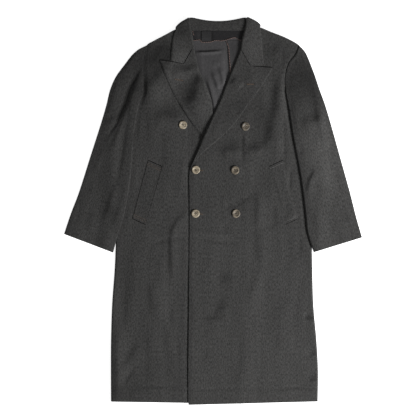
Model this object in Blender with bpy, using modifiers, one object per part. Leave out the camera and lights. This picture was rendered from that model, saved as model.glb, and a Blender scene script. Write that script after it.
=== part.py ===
# Double-breasted overcoat lying flat on its back, front uppermost.
# Plan sizes are in metres: x from the coat's centre line towards the wearer's left,
# y up from the lowest point of the hem, z up from the surface it lies on.
import math
from collections import namedtuple

import bmesh
import bpy
import numpy as np

COAT = "double_breasted_coat"

# Cloth, and the space between cloths that lie on each other
BODY_WALL = 0.002
FRONT_WALL = 0.003
COLLAR_WALL = 0.002
LAPEL_WALL = 0.0024
INNER_WALL = 0.001
WELT_WALL = 0.0015
GAP = 0.0006
SEAM_GAP = 0.0003

# Lower faces of the layers above the surface
LINING_REST = 0.0023
FACING_REST = 0.0036
FRONT_REST = 0.0036
TAB_REST = 0.0049
STAND_REST = 0.0049
FRONT_TOP = FRONT_REST + FRONT_WALL
LAYER = FRONT_WALL + GAP
BODY_STACK = FRONT_TOP + GAP

# Rolled edges: how wide the roll is, how far round it goes, the inset of the cloth inside
EDGE_RUN = 0.006
EDGE_ANGLE = math.radians(80)
EDGE_FOOT = 0.0005
EDGE_INSET = 0.0046
LEAST_ROLL = 0.25

# Lapel and collar roll
ROLL_REACH = 0.090
UNDER_EDGE_X = 0.079
STEP_RUN = 0.034
STEP_MARGIN = 0.024
BREAK_Y = 0.727
COLLAR_TURN = 0.0085
NECK_X = 0.008

# Sleeves
SLEEVE_PUFF = 0.0034
SLEEVE_LAP = 0.003
GROUND_MARGIN = 0.026
GROUND_RUN = 0.030
SEAM_TOP = 1.020
SEAM_FADE = 0.060

# Buttons
BUTTON_RADIUS = 0.0128
BUTTON_HEIGHT = 0.0038
PIPING_RADIUS = 0.0009

Section = namedtuple("Section", "left_x left_y left_roll right_x right_y right_roll")
Leaf = namedtuple("Leaf", "fold_x fold_y corner_x corner_y edge_x edge_y roll")
Lift = namedtuple("Lift", "y left right")
Fold = namedtuple("Fold", "x0 y0 x1 y1 rise width")
Point = namedtuple("Point", "x y")

# Left front, hem to neck: front edge and roll line, then side, armhole and shoulder
LEFT_FRONT = [
    Section(-0.084, 0.000, 0, 0.3170, 0.010, 1),
    Section(-0.084, 0.107, 0, 0.3180, 0.107, 1),
    Section(-0.083, 0.200, 0, 0.3130, 0.200, 1),
    Section(-0.082, 0.310, 0, 0.3035, 0.310, 1),
    Section(-0.081, 0.430, 0, 0.3000, 0.430, 1),
    Section(-0.080, 0.540, 0, 0.2980, 0.540, 1),
    Section(-0.080, 0.640, 0, 0.2960, 0.640, 1),
    Section(-0.079, 0.727, 0, 0.2940, 0.727, 1),
    Section(-0.0544, 0.775, 0, 0.2925, 0.790, 1),
    Section(-0.0304, 0.833, 0, 0.2910, 0.845, 1),
    Section(-0.0124, 0.874, 0, 0.2840, 0.874, 0.5),
    Section(0.0006, 0.904, 0, 0.2520, 0.896, 0),
    Section(0.0166, 0.940, 0, 0.2300, 0.926, 0),
    Section(0.0276, 0.967, 0, 0.2205, 0.962, 0),
    Section(0.0416, 1.003, 0, 0.2195, 1.005, 0),
    Section(0.0566, 1.040, 0, 0.2280, 1.050, 0),
    Section(0.0726, 1.073, 0, 0.2470, 1.078, 0),
    Section(0.0846, 1.115, 0, 0.2640, 1.1075, 0.5),
    Section(0.0896, 1.138, 0, 0.2260, 1.1330, 1),
    Section(0.0936, 1.155, 0, 0.1760, 1.1535, 1),
    Section(0.0976, 1.167, 0, 0.1440, 1.1660, 0),
    Section(0.1016, 1.176, 0, 0.1100, 1.175, 0),
]

# Right front, hem to neck: side, armhole and shoulder, then hidden edge and roll line
RIGHT_FRONT = [
    Section(-0.3240, 0.0095, 1, 0.0790, 0.003, 0),
    Section(-0.3245, 0.107, 1, 0.0790, 0.107, 0),
    Section(-0.3240, 0.200, 1, 0.0790, 0.200, 0),
    Section(-0.3205, 0.310, 1, 0.0790, 0.310, 0),
    Section(-0.3120, 0.430, 1, 0.0790, 0.430, 0),
    Section(-0.3080, 0.540, 1, 0.0790, 0.540, 0),
    Section(-0.3030, 0.640, 1, 0.0790, 0.640, 0),
    Section(-0.2985, 0.727, 1, 0.0790, 0.727, 0),
    Section(-0.2955, 0.790, 1, 0.0494, 0.780, 0),
    Section(-0.2930, 0.845, 1, 0.0234, 0.835, 0),
    Section(-0.2870, 0.876, 0.5, 0.0044, 0.872, 0),
    Section(-0.2580, 0.898, 0, -0.0118, 0.907, 0),
    Section(-0.2360, 0.930, 0, -0.0183, 0.944, 0),
    Section(-0.2265, 0.966, 0, -0.0289, 0.975, 0),
    Section(-0.2245, 1.003, 0, -0.0413, 1.004, 0),
    Section(-0.2260, 1.042, 0, -0.0556, 1.035, 0),
    Section(-0.2225, 1.080, 0, -0.0656, 1.074, 0),
    Section(-0.2155, 1.112, 0.5, -0.0716, 1.110, 0),
    Section(-0.1905, 1.128, 1, -0.0761, 1.133, 0),
    Section(-0.1600, 1.144, 1, -0.0791, 1.150, 0),
    Section(-0.1290, 1.1570, 0, -0.0821, 1.163, 0),
    Section(-0.0980, 1.171, 0, -0.0846, 1.173, 0),
]

# Height of the roll above the body along each front
ROLL_LIFT = [
    Lift(0.720, 0.000, 0.000),
    Lift(0.800, 0.001, 0.000),
    Lift(0.860, 0.002, 0.000),
    Lift(0.905, 0.003, 0.002),
    Lift(0.970, 0.005, 0.004),
    Lift(1.030, 0.006, 0.005),
    Lift(1.100, 0.007, 0.007),
    Lift(1.150, 0.007, 0.007),
    Lift(1.200, 0.005, 0.005),
]

# Lapels from the break up to the gorge: fold line, gorge corner, outer edge
LEFT_LAPEL = [
    Leaf(-0.0775, 0.731, -0.0755, 0.734, -0.0735, 0.737, 0.0),
    Leaf(-0.0620, 0.770, -0.0535, 0.772, -0.0450, 0.774, 0.35),
    Leaf(-0.0420, 0.820, -0.0210, 0.816, 0.0000, 0.812, 1),
    Leaf(-0.0230, 0.863, 0.0110, 0.858, 0.0450, 0.853, 1),
    Leaf(-0.0050, 0.904, 0.0360, 0.899, 0.0775, 0.893, 1),
    Leaf(0.0170, 0.953, 0.0600, 0.942, 0.1039, 0.932, 1),
    Leaf(0.0310, 0.990, 0.0790, 0.976, 0.1300, 0.966, 1),
    Leaf(0.0470, 1.030, 0.0930, 1.003, 0.1500, 0.996, 1),
    Leaf(0.0620, 1.065, 0.1020, 1.026, 0.1660, 1.021, 1),
    Leaf(0.0765, 1.1015, 0.1085, 1.0475, 0.1773, 1.0455, 1),
]
RIGHT_LAPEL = [
    Leaf(0.0775, 0.731, 0.0755, 0.734, 0.0735, 0.737, 0.0),
    Leaf(0.0600, 0.770, 0.0450, 0.774, 0.0300, 0.778, 0.35),
    Leaf(0.0360, 0.820, 0.0080, 0.818, -0.0200, 0.815, 1),
    Leaf(0.0120, 0.868, -0.0230, 0.860, -0.0580, 0.852, 1),
    Leaf(-0.0062, 0.907, -0.0460, 0.899, -0.0850, 0.890, 1),
    Leaf(-0.0127, 0.944, -0.0600, 0.933, -0.1060, 0.923, 1),
    Leaf(-0.0233, 0.975, -0.0710, 0.960, -0.1234, 0.950, 1),
    Leaf(-0.0357, 1.0044, -0.0810, 0.987, -0.1380, 0.980, 1),
    Leaf(-0.0500, 1.036, -0.0890, 1.012, -0.1520, 1.012, 1),
    Leaf(-0.0590, 1.072, -0.0945, 1.033, -0.1630, 1.040, 1),
    Leaf(-0.0667, 1.110, -0.0989, 1.0537, -0.1725, 1.0655, 1),
]

# Collar ends from the gorge up to the top of the shoulder
LEFT_WING = [
    Leaf(0.0776, 1.1032, 0.1093, 1.0484, 0.1520, 1.050, 1),
    Leaf(0.0805, 1.127, 0.1130, 1.088, 0.1470, 1.085, 1),
    Leaf(0.0865, 1.151, 0.1160, 1.125, 0.1445, 1.122, 1),
    Leaf(0.0920, 1.172, 0.1155, 1.156, 0.1415, 1.148, 1),
    Leaf(0.0960, 1.1930, 0.1165, 1.1840, 0.1380, 1.1705, 0),
]
RIGHT_WING = [
    Leaf(-0.0678, 1.1118, -0.0996, 1.0549, -0.1386, 1.064, 1),
    Leaf(-0.0692, 1.129, -0.1000, 1.092, -0.1365, 1.092, 1),
    Leaf(-0.0725, 1.149, -0.1010, 1.124, -0.1340, 1.120, 1),
    Leaf(-0.0770, 1.170, -0.1020, 1.153, -0.1305, 1.143, 1),
    Leaf(-0.0800, 1.1915, -0.1020, 1.1790, -0.1230, 1.1620, 0),
]
# Collar leaf under the back of the neck, from the wearer's left to the right
COLLAR_BACK = [
    Leaf(0.0660, 1.1930, 0.0760, 1.1670, 0.0900, 1.1420, 0),
    Leaf(0.0360, 1.1885, 0.0400, 1.1590, 0.0460, 1.1300, 0),
    Leaf(0.0080, 1.1870, 0.0080, 1.1570, 0.0080, 1.1270, 0),
    Leaf(-0.0200, 1.1885, -0.0240, 1.1590, -0.0300, 1.1300, 0),
    Leaf(-0.0500, 1.1930, -0.0600, 1.1670, -0.0740, 1.1420, 0),
]

# Sleeves from the cuff up to the shoulder
LEFT_SLEEVE = [
    Section(0.3035, 0.472, 1, 0.4545, 0.5180, 1),
    Section(0.2840, 0.532, 1, 0.4365, 0.5800, 1),
    Section(0.2770, 0.597, 1, 0.4165, 0.6590, 1),
    Section(0.2620, 0.711, 1, 0.3850, 0.7720, 1),
    Section(0.2400, 0.826, 1, 0.3590, 0.8650, 1),
    Section(0.2280, 0.905, 1, 0.3390, 0.9315, 1),
    Section(0.2205, 0.962, 0.3, 0.3230, 0.9750, 1),
    Section(0.2195, 1.010, 0, 0.3080, 1.0200, 1),
    Section(0.2300, 1.055, 0, 0.2920, 1.0620, 1),
    Section(0.2495, 1.0815, 0, 0.2805, 1.0885, 1),
    Section(0.2620, 1.1080, 0, 0.2690, 1.1040, 0.6),
]
RIGHT_SLEEVE = [
    Section(-0.4695, 0.5285, 1, -0.3170, 0.471, 1),
    Section(-0.4490, 0.590, 1, -0.2990, 0.535, 1),
    Section(-0.4225, 0.660, 1, -0.2805, 0.597, 1),
    Section(-0.3865, 0.773, 1, -0.2620, 0.711, 1),
    Section(-0.3570, 0.865, 1, -0.2525, 0.832, 1),
    Section(-0.3385, 0.928, 1, -0.2400, 0.915, 1),
    Section(-0.3270, 0.975, 1, -0.2255, 0.966, 0.3),
    Section(-0.3090, 1.016, 1, -0.2260, 1.015, 0),
    Section(-0.2830, 1.052, 1, -0.2270, 1.060, 0),
    Section(-0.2590, 1.083, 1, -0.2220, 1.090, 0),
    Section(-0.2400, 1.1000, 0.6, -0.2140, 1.1120, 0),
]

# Back: top line, as the rise above the straight line from shoulder to shoulder
BACK_TOP = [
    Point(-0.2155, 0.000),
    Point(-0.1240, 0.042),
    Point(-0.1000, 0.031),
    Point(-0.0720, 0.022),
    Point(-0.0320, 0.013),
    Point(0.0080, 0.012),
    Point(0.0480, 0.014),
    Point(0.0880, 0.024),
    Point(0.1160, 0.034),
    Point(0.1400, 0.046),
    Point(0.2640, 0.000),
]

# Inside of the neck
LINING = [
    Section(-0.022, 0.875, 0, 0.004, 0.875, 0),
    Section(-0.032, 0.920, 0, 0.022, 0.920, 0),
    Section(-0.045, 0.970, 0, 0.040, 0.970, 0),
    Section(-0.065, 1.020, 0, 0.060, 1.020, 0),
    Section(-0.080, 1.070, 0, 0.085, 1.070, 0),
    Section(-0.088, 1.110, 0, 0.098, 1.110, 0),
    Section(-0.092, 1.140, 0, 0.104, 1.140, 0),
]
FRONT_FACING = [
    Section(0.0475, 1.030, 0, 0.0600, 1.030, 0),
    Section(0.0460, 1.055, 0, 0.0740, 1.055, 0),
    Section(0.0442, 1.082, 0, 0.0830, 1.082, 0),
    Section(0.0416, 1.108, 0, 0.0920, 1.108, 0),
    Section(0.0362, 1.1255, 0, 0.0970, 1.1245, 0),
]
NECK_SEAM = [
    Point(-0.0780, 1.1275),
    Point(-0.0667, 1.1278),
    Point(-0.0480, 1.1300),
    Point(-0.0420, 1.1228),
    Point(-0.0140, 1.1237),
    Point(-0.0016, 1.1278),
    Point(0.0170, 1.1268),
    Point(0.0310, 1.1290),
    Point(0.0592, 1.1368),
    Point(0.0747, 1.1290),
    Point(0.0880, 1.1280),
]
FACING_SEAM = [
    Point(0.0333, 1.1245),
    Point(0.0400, 1.1080),
    Point(0.0425, 1.0816),
    Point(0.0448, 1.0500),
    Point(0.0455, 1.0280),
]
STAND_BOTTOM_Y = 1.158
STAND_TOP_Y = 1.1885
STAND_SAG = 0.0105
STAND_HALF = 0.088
STAND_FLARE = 0.012
FACING_TOP_Y = 1.160
TAB = Section(-0.043, 1.1262, 0, -0.013, 1.1565, 0)

# Slanted welts: corners on the wearer's left, the other is its mirror image
WELT = [
    Section(0.217, 0.559, 0, 0.256, 0.577, 0),
    Section(0.166, 0.737, 0, 0.208, 0.756, 0),
]
BUTTONS = [
    Point(-0.1007, 0.866),
    Point(0.0930, 0.861),
    Point(-0.0605, 0.727),
    Point(0.0611, 0.726),
    Point(-0.0614, 0.592),
    Point(0.0636, 0.592),
]

# Largest folds: a ridge or a hollow along a line
LEFT_FRONT_FOLDS = [
    Fold(0.136, 0.660, 0.134, 0.547, 0.0040, 0.018),
    Fold(0.134, 0.547, 0.146, 0.430, 0.0040, 0.020),
    Fold(0.196, 1.000, 0.192, 0.842, 0.0035, 0.016),
    Fold(0.060, 0.330, 0.010, 0.245, 0.0030, 0.030),
]
RIGHT_FRONT_FOLDS = [
    Fold(-0.105, 0.560, -0.120, 0.360, 0.0045, 0.018),
    Fold(-0.197, 0.380, -0.181, 0.270, 0.0030, 0.022),
    Fold(-0.285, 0.100, -0.235, 0.180, 0.0030, 0.022),
]
LEFT_SLEEVE_FOLDS = [
    Fold(0.292, 0.985, 0.300, 0.880, -0.0028, 0.014),
    Fold(0.316, 0.915, 0.340, 0.780, 0.0040, 0.020),
    Fold(0.300, 0.770, 0.345, 0.640, 0.0030, 0.024),
]
RIGHT_SLEEVE_FOLDS = [
    Fold(-0.240, 1.040, -0.332, 0.830, -0.0030, 0.011),
    Fold(-0.256, 1.005, -0.325, 0.745, 0.0045, 0.015),
    Fold(-0.275, 0.935, -0.305, 0.690, -0.0020, 0.011),
    Fold(-0.300, 0.690, -0.345, 0.560, 0.0035, 0.016),
]

# Colours, linear
WOOL = (0.050, 0.050, 0.052, 1)
LINING_CLOTH = (0.055, 0.053, 0.055, 1)
FACING_CLOTH = (0.026, 0.025, 0.027, 1)
ROSE = (0.160, 0.075, 0.065, 1)
HORN = (0.330, 0.250, 0.150, 1)


def smooth(value):
    t = min(1.0, max(0.0, value))
    return t * t * (3 - 2 * t)


def spline(rows, t):
    # Row values at t rows along a smooth curve through the rows
    table = np.array(rows, dtype=float)
    last = len(table) - 1
    i = min(int(t), last - 1)
    f = t - i
    before, a, b, after = table[max(i - 1, 0)], table[i], table[i + 1], table[min(i + 2, last)]
    start, end = (b - before) / 2, (after - a) / 2
    return (
        a * (2 * f**3 - 3 * f**2 + 1)
        + start * (f**3 - 2 * f**2 + f)
        + b * (3 * f**2 - 2 * f**3)
        + end * (f**3 - f**2)
    )


def column(rows, name):
    return [getattr(row, name) for row in rows]


def fold_height(folds, x, y):
    total = 0.0
    for fold in folds:
        run_x, run_y = fold.x1 - fold.x0, fold.y1 - fold.y0
        t = ((x - fold.x0) * run_x + (y - fold.y0) * run_y) / (run_x**2 + run_y**2)
        t = min(1.0, max(0.0, t))
        off = math.hypot(x - fold.x0 - t * run_x, y - fold.y0 - t * run_y)
        total += fold.rise * math.exp(-((off / fold.width) ** 2))
    return total


def roll_lift(edge_x, edge_y, side, x, y):
    roll_x = np.interp(y, edge_y, edge_x)
    near = max(0.0, 1 - abs(x - roll_x) / ROLL_REACH)
    return np.interp(y, column(ROLL_LIFT, "y"), column(ROLL_LIFT, side)) * near**2


def left_front_top(x, y):
    beneath = smooth((UNDER_EDGE_X + STEP_MARGIN + STEP_RUN - x) / STEP_RUN)
    beneath *= smooth((1.00 - y) / 0.09)
    layers = 1 + smooth((y - BREAK_Y + 0.11) / 0.05)
    edge_x, edge_y = column(LEFT_FRONT, "left_x"), column(LEFT_FRONT, "left_y")
    lift = roll_lift(edge_x, edge_y, "left", x, y)
    return FRONT_TOP + LAYER * beneath * layers + lift + fold_height(LEFT_FRONT_FOLDS, x, y)


def right_front_top(x, y):
    edge_x, edge_y = column(RIGHT_FRONT, "right_x"), column(RIGHT_FRONT, "right_y")
    lift = roll_lift(edge_x, edge_y, "right", x, y)
    clear = smooth((LEFT_FRONT[0].left_x - STEP_MARGIN - x) / 0.020)
    return FRONT_TOP + lift + fold_height(RIGHT_FRONT_FOLDS, x, y) * clear


def body_rise(side_x, side_y, x, y):
    # Height of the body's side under a sleeve, sloping to the surface beyond it
    reach = np.interp(y, side_y, side_x)
    over = smooth((reach + GROUND_MARGIN + GROUND_RUN - abs(x)) / GROUND_RUN)
    return BODY_STACK * over * smooth((SEAM_TOP - y) / SEAM_FADE)


def left_ground(x, y):
    return body_rise(column(LEFT_FRONT, "right_x"), column(LEFT_FRONT, "right_y"), x, y)


def right_ground(x, y):
    reach = [-value for value in column(RIGHT_FRONT, "left_x")]
    return body_rise(reach, column(RIGHT_FRONT, "left_y"), x, y)


def stations(flat, left_turns, right_turns):
    # Places across a cloth: share of the flat width, and share of the edge's roll
    places = [(0.0, -(k + 1) / left_turns) for k in reversed(range(left_turns))]
    places += [(k / flat, 0.0) for k in range(flat + 1)]
    places += [(1.0, (k + 1) / right_turns) for k in range(right_turns)]
    return places


def edge_roll(share):
    # A roll too slight to show is left flat
    return min(1.0, share) if share > LEAST_ROLL else 0.0


def across(left, left_roll, right, right_roll, share, turn, height, foot):
    # Point on a cloth between its two edges, rolled down towards the foot at an edge
    span = right - left
    width = np.linalg.norm(span)
    way = span / width
    run = EDGE_RUN * left_roll, EDGE_RUN * right_roll
    plan = left + way * (run[0] + share * (width - run[0] - run[1]))
    z = height(plan[0], plan[1], share)
    if turn:
        roll = left_roll if turn < 0 else right_roll
        angle = EDGE_ANGLE * abs(turn) * roll
        low = foot(plan[0], plan[1])
        plan = plan + way * math.copysign(EDGE_RUN * roll * math.sin(angle), turn)
        z = low + (z - low) * math.cos(angle)
    return plan[0], plan[1], z


def finish(name, colour, roughness):
    material = bpy.data.materials.new(name)
    material.use_nodes = True
    shader = material.node_tree.nodes["Principled BSDF"]
    shader.inputs["Base Color"].default_value = colour
    shader.inputs["Roughness"].default_value = roughness
    shader.inputs["Metallic"].default_value = 0.0
    return material


def place(name, mesh_or_curve, colour, roughness):
    mesh_or_curve.materials.append(finish(name, colour, roughness))
    obj = bpy.data.objects.new(name, mesh_or_curve)
    coat.objects.link(obj)
    obj.parent = pivot
    return obj


def cloth(name, columns, rows, point, wall, colour, roughness):
    # One layer of cloth: a grid laid on its upper face, thickened downwards
    bm = bmesh.new()
    bmesh.ops.create_grid(bm, x_segments=columns, y_segments=rows, size=0.5)
    for vert in bm.verts:
        i = round((vert.co.x + 0.5) * columns)
        j = round((vert.co.y + 0.5) * rows)
        vert.co = point(i, j)
    bmesh.ops.remove_doubles(bm, verts=bm.verts, dist=0.00002)
    mesh = bpy.data.meshes.new(name)
    bm.to_mesh(mesh)
    bm.free()
    obj = place(name, mesh, colour, roughness)
    thick = obj.modifiers.new("wall", "SOLIDIFY")
    thick.thickness = wall
    thick.offset = -1
    return obj


def panel(name, sections, rows, places, height, foot, wall, colour, roughness):
    def point(i, j):
        row = spline(sections, j / rows * (len(sections) - 1))
        share, turn = places[i]
        left_roll, right_roll = edge_roll(row[2]), edge_roll(row[5])
        return across(row[0:2], left_roll, row[3:5], right_roll, share, turn, height, foot)

    return cloth(name, len(places) - 1, rows, point, wall, colour, roughness)


def leaf_point(row, share, flip):
    # Plan point on a lapel or collar end, from the fold by the corner to the outer edge
    fold, corner, edge = row[0:2], row[2:4], row[4:6]
    if flip:
        share = 1 - share
    if share < 0.5:
        return fold + (corner - fold) * share * 2
    return corner + (edge - corner) * (share * 2 - 1)


def lapel(name, leaves, rows, front_top, flip):
    places = stations(6, 0, 3) if flip else stations(6, 3, 0)

    def point(i, j):
        row = spline(leaves, j / rows * (len(leaves) - 1))
        share, turn = places[i]
        roll = edge_roll(row[6])
        out = (row[0:2] - row[2:4]) / np.linalg.norm(row[0:2] - row[2:4])
        plan = leaf_point(row, share, flip)
        near = 1 - share if not flip else share
        plan = plan - out * EDGE_RUN * roll * max(0.0, near * 2 - 1)
        z = front_top(plan[0], plan[1]) + LAPEL_WALL + GAP * 2
        if turn:
            angle = EDGE_ANGLE * abs(turn) * roll
            low = z - LAYER - FRONT_WALL
            plan = plan + out * EDGE_RUN * roll * math.sin(angle)
            z = low + (z - low) * math.cos(angle)
        return plan[0], plan[1], z

    return cloth(name, len(places) - 1, rows, point, LAPEL_WALL, WOOL, 0.95)


def collar_rows(wing, front_top, steps):
    # Sections of a collar end, each a list of points from the fold's roll to the outer edge
    sections = []
    for k in range(steps + 1):
        row = spline(wing, k / steps * (len(wing) - 1))
        roll = min(1.0, max(0.0, row[6]))
        out = (row[0:2] - row[2:4]) / np.linalg.norm(row[0:2] - row[2:4])
        section = []
        for turn in (1, 0.6, 0.3):
            plan = row[0:2] - out * EDGE_RUN * roll
            top = front_top(plan[0], plan[1]) + LAYER + GAP
            angle = EDGE_ANGLE * turn * roll
            low = top - LAYER - FRONT_WALL
            plan = plan + out * (EDGE_RUN * roll * math.sin(angle) + 0.0008 * turn)
            section.append((plan[0], plan[1], low + (top - low) * math.cos(angle)))
        for share in (0, 0.17, 0.34, 0.5, 0.67, 0.84, 1):
            plan = leaf_point(row, share, False)
            plan = plan - out * (EDGE_RUN * roll + 0.0004) * max(0.0, 1 - share * 2)
            section.append((plan[0], plan[1], front_top(plan[0], plan[1]) + LAYER + GAP))
        sections.append(section)
    return sections


def collar_turn(section, low, angles):
    # The collar end goes over the top of the shoulder to the underside
    first, last = np.array(section[0]), np.array(section[-1])
    way = last[:2] - first[:2]
    side = np.array((-way[1], way[0])) / np.linalg.norm(way)
    if side[1] < 0:
        side = -side
    turned = []
    for angle in angles:
        row = []
        for x, y, z in section:
            plan = np.array((x, y)) + side * COLLAR_TURN * math.sin(angle)
            row.append((plan[0], plan[1], low + (z - low) * (1 + math.cos(angle)) / 2))
        turned.append(row)
    return turned


def collar_back_rows(steps):
    first = [tuple(LEFT_WING[-1])]
    last = [tuple(RIGHT_WING[-1])]
    table = first + [tuple(row) for row in COLLAR_BACK] + last
    sections = []
    for k in range(1, steps):
        row = spline(table, k / steps * (len(table) - 1))
        out = (row[0:2] - row[2:4]) / np.linalg.norm(row[0:2] - row[2:4])
        section = []
        for turn in (1, 0.6, 0.3):
            plan = row[0:2] + out * 0.0008 * turn
            section.append((plan[0], plan[1], 0.0))
        for share in (0, 0.17, 0.34, 0.5, 0.67, 0.84, 1):
            plan = leaf_point(row, share, False)
            plan = plan - out * 0.0004 * max(0.0, 1 - share * 2)
            section.append((plan[0], plan[1], 0.0))
        sections.append(section)
    return sections


def piping(name, seam, z):
    curve = bpy.data.curves.new(name, "CURVE")
    curve.dimensions = "3D"
    curve.bevel_depth = PIPING_RADIUS
    curve.bevel_resolution = 1
    curve.use_fill_caps = True
    line = curve.splines.new("POLY")
    steps = (len(seam) - 1) * 2
    line.points.add(steps)
    for k in range(steps + 1):
        x, y = spline(seam, k / steps * (len(seam) - 1))
        line.points[k].co = (x, y, z, 1)
    return place(name, curve, ROSE, 0.7)


def button(name, centre, top):
    # Horn button: sunk middle, raised rim, rounded edge, flat back
    r, h = BUTTON_RADIUS, BUTTON_HEIGHT
    outline = [
        (0, h * 0.62), (r * 0.45, h * 0.64), (r * 0.66, h * 0.96), (r * 0.84, h),
        (r * 0.99, h * 0.66), (r * 0.95, h * 0.25), (r * 0.72, 0), (0, 0),
    ]
    bm = bmesh.new()
    verts = [bm.verts.new((x, 0, z)) for x, z in outline]
    for a, b in zip(verts, verts[1:]):
        bm.edges.new((a, b))
    mesh = bpy.data.meshes.new(name)
    bm.to_mesh(mesh)
    bm.free()
    obj = place(name, mesh, HORN, 0.35)
    rest = max(
        top(centre.x + r * math.cos(a) * s, centre.y + r * math.sin(a) * s)
        for a in np.linspace(0, 2 * math.pi, 12) for s in (0, 0.6, 1.1)
    )
    obj.location = (centre.x, centre.y, rest + GAP)
    turn = obj.modifiers.new("turn", "SCREW")
    turn.steps = 20
    turn.render_steps = 20
    turn.use_merge_vertices = True
    turn.merge_threshold = 0.0001
    return obj


for old in list(bpy.data.objects):
    bpy.data.objects.remove(old, do_unlink=True)
coat = bpy.data.collections.new(COAT)
bpy.context.scene.collection.children.link(coat)
pivot = bpy.data.objects.new(COAT + "_origin", None)
coat.objects.link(pivot)

# Back, inside the rolled sides of the fronts
BACK_ROWS, BACK_COLUMNS = 24, 20


def back_point(i, j):
    t = j / BACK_ROWS * (len(LEFT_FRONT) - 5)
    left, right = spline(RIGHT_FRONT, t), spline(LEFT_FRONT, t)
    low = left[0:2] + np.array((EDGE_INSET, 0))
    high = right[3:5] - np.array((EDGE_INSET, 0))
    plan = low + (high - low) * i / BACK_COLUMNS
    top = np.interp(plan[0], column(BACK_TOP, "x"), column(BACK_TOP, "y"))
    return plan[0], plan[1] + (top - 0.004) * smooth((plan[1] - 1.00) / 0.09), BODY_WALL


cloth("back", BACK_COLUMNS, BACK_ROWS, back_point, BODY_WALL, WOOL, 0.95)

# Fronts
panel(
    "front_right", RIGHT_FRONT, 40, stations(13, 2, 0),
    lambda x, y, share: right_front_top(x, y), lambda x, y: EDGE_FOOT,
    FRONT_WALL, WOOL, 0.95,
)
panel(
    "front_left", LEFT_FRONT, 40, stations(13, 0, 2),
    lambda x, y, share: left_front_top(x, y), lambda x, y: EDGE_FOOT,
    FRONT_WALL, WOOL, 0.95,
)

# Lapels
lapel("lapel_right", RIGHT_LAPEL, 16, right_front_top, True)
lapel("lapel_left", LEFT_LAPEL, 16, left_front_top, False)

# Collar leaf: one strip from the left end, under the back of the neck, to the right end
left_end = collar_rows(LEFT_WING, left_front_top, 7)
right_end = collar_rows(RIGHT_WING, right_front_top, 7)
turns = [math.radians(a) for a in (45, 90, 135, 180)]
strip = left_end + collar_turn(left_end[-1], 0.0, turns)
strip += collar_back_rows(10)
strip += collar_turn(right_end[-1], 0.0, turns)[::-1] + right_end[::-1]
cloth(
    "collar_fall", len(strip[0]) - 1, len(strip) - 1, lambda i, j: strip[j][i],
    COLLAR_WALL, WOOL, 0.95,
)

# Collar stand inside the back of the neck, rolled over the top edge of the leaf
STAND_COLUMNS, STAND_ROWS, STAND_TURNS = 16, 3, 3


def stand_point(i, j):
    off = STAND_HALF * (2 * i / STAND_COLUMNS - 1)
    top_y = STAND_TOP_Y + STAND_SAG * (off / 0.075) ** 2 * smooth((0.120 - abs(off)) / 0.05)
    share = min(1.0, j / STAND_ROWS)
    y = STAND_BOTTOM_Y + share * (top_y - EDGE_RUN - STAND_BOTTOM_Y)
    z = STAND_REST + FRONT_WALL + 0.0012 * share
    if j > STAND_ROWS:
        angle = EDGE_ANGLE * (j - STAND_ROWS) / STAND_TURNS
        low = COLLAR_WALL + GAP
        y += EDGE_RUN * math.sin(angle)
        z = low + (z - low) * math.cos(angle)
    flare = STAND_FLARE * (off / STAND_HALF) ** 2 * smooth((y - 1.190) / 0.009)
    return NECK_X + off * (1 + flare), y, z


cloth("collar_stand", STAND_COLUMNS, STAND_ROWS + STAND_TURNS, stand_point, BODY_WALL, WOOL, 0.95)

# Neck facing, hanger tab, lining and the small front facing
FACING_COLUMNS = 30


def facing_point(i, j):
    x = -0.078 + 0.166 * i / FACING_COLUMNS
    low = np.interp(x, column(NECK_SEAM, "x"), column(NECK_SEAM, "y")) + 0.0032
    return x, low + (FACING_TOP_Y - low) * j / 2, FACING_REST + INNER_WALL


def tab_point(i, j):
    x = TAB.left_x + (TAB.right_x - TAB.left_x) * i / 4
    return x, TAB.left_y + (TAB.right_y - TAB.left_y) * j / 4, TAB_REST + INNER_WALL


cloth("neck_facing", FACING_COLUMNS, 2, facing_point, INNER_WALL, FACING_CLOTH, 0.6)
cloth("hanger_tab", 4, 4, tab_point, INNER_WALL, FACING_CLOTH, 0.6)
panel(
    "back_lining", LINING, 12, stations(8, 0, 0),
    lambda x, y, share: LINING_REST + INNER_WALL, lambda x, y: 0.0,
    INNER_WALL, LINING_CLOTH, 0.8,
)
panel(
    "front_facing", FRONT_FACING, 6, stations(3, 0, 0),
    lambda x, y, share: FACING_REST + INNER_WALL, lambda x, y: 0.0,
    INNER_WALL, FACING_CLOTH, 0.6,
)
piping_z = LINING_REST + INNER_WALL + SEAM_GAP + PIPING_RADIUS
piping("neck_piping", NECK_SEAM, piping_z)
piping("facing_piping", FACING_SEAM, piping_z)


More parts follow.
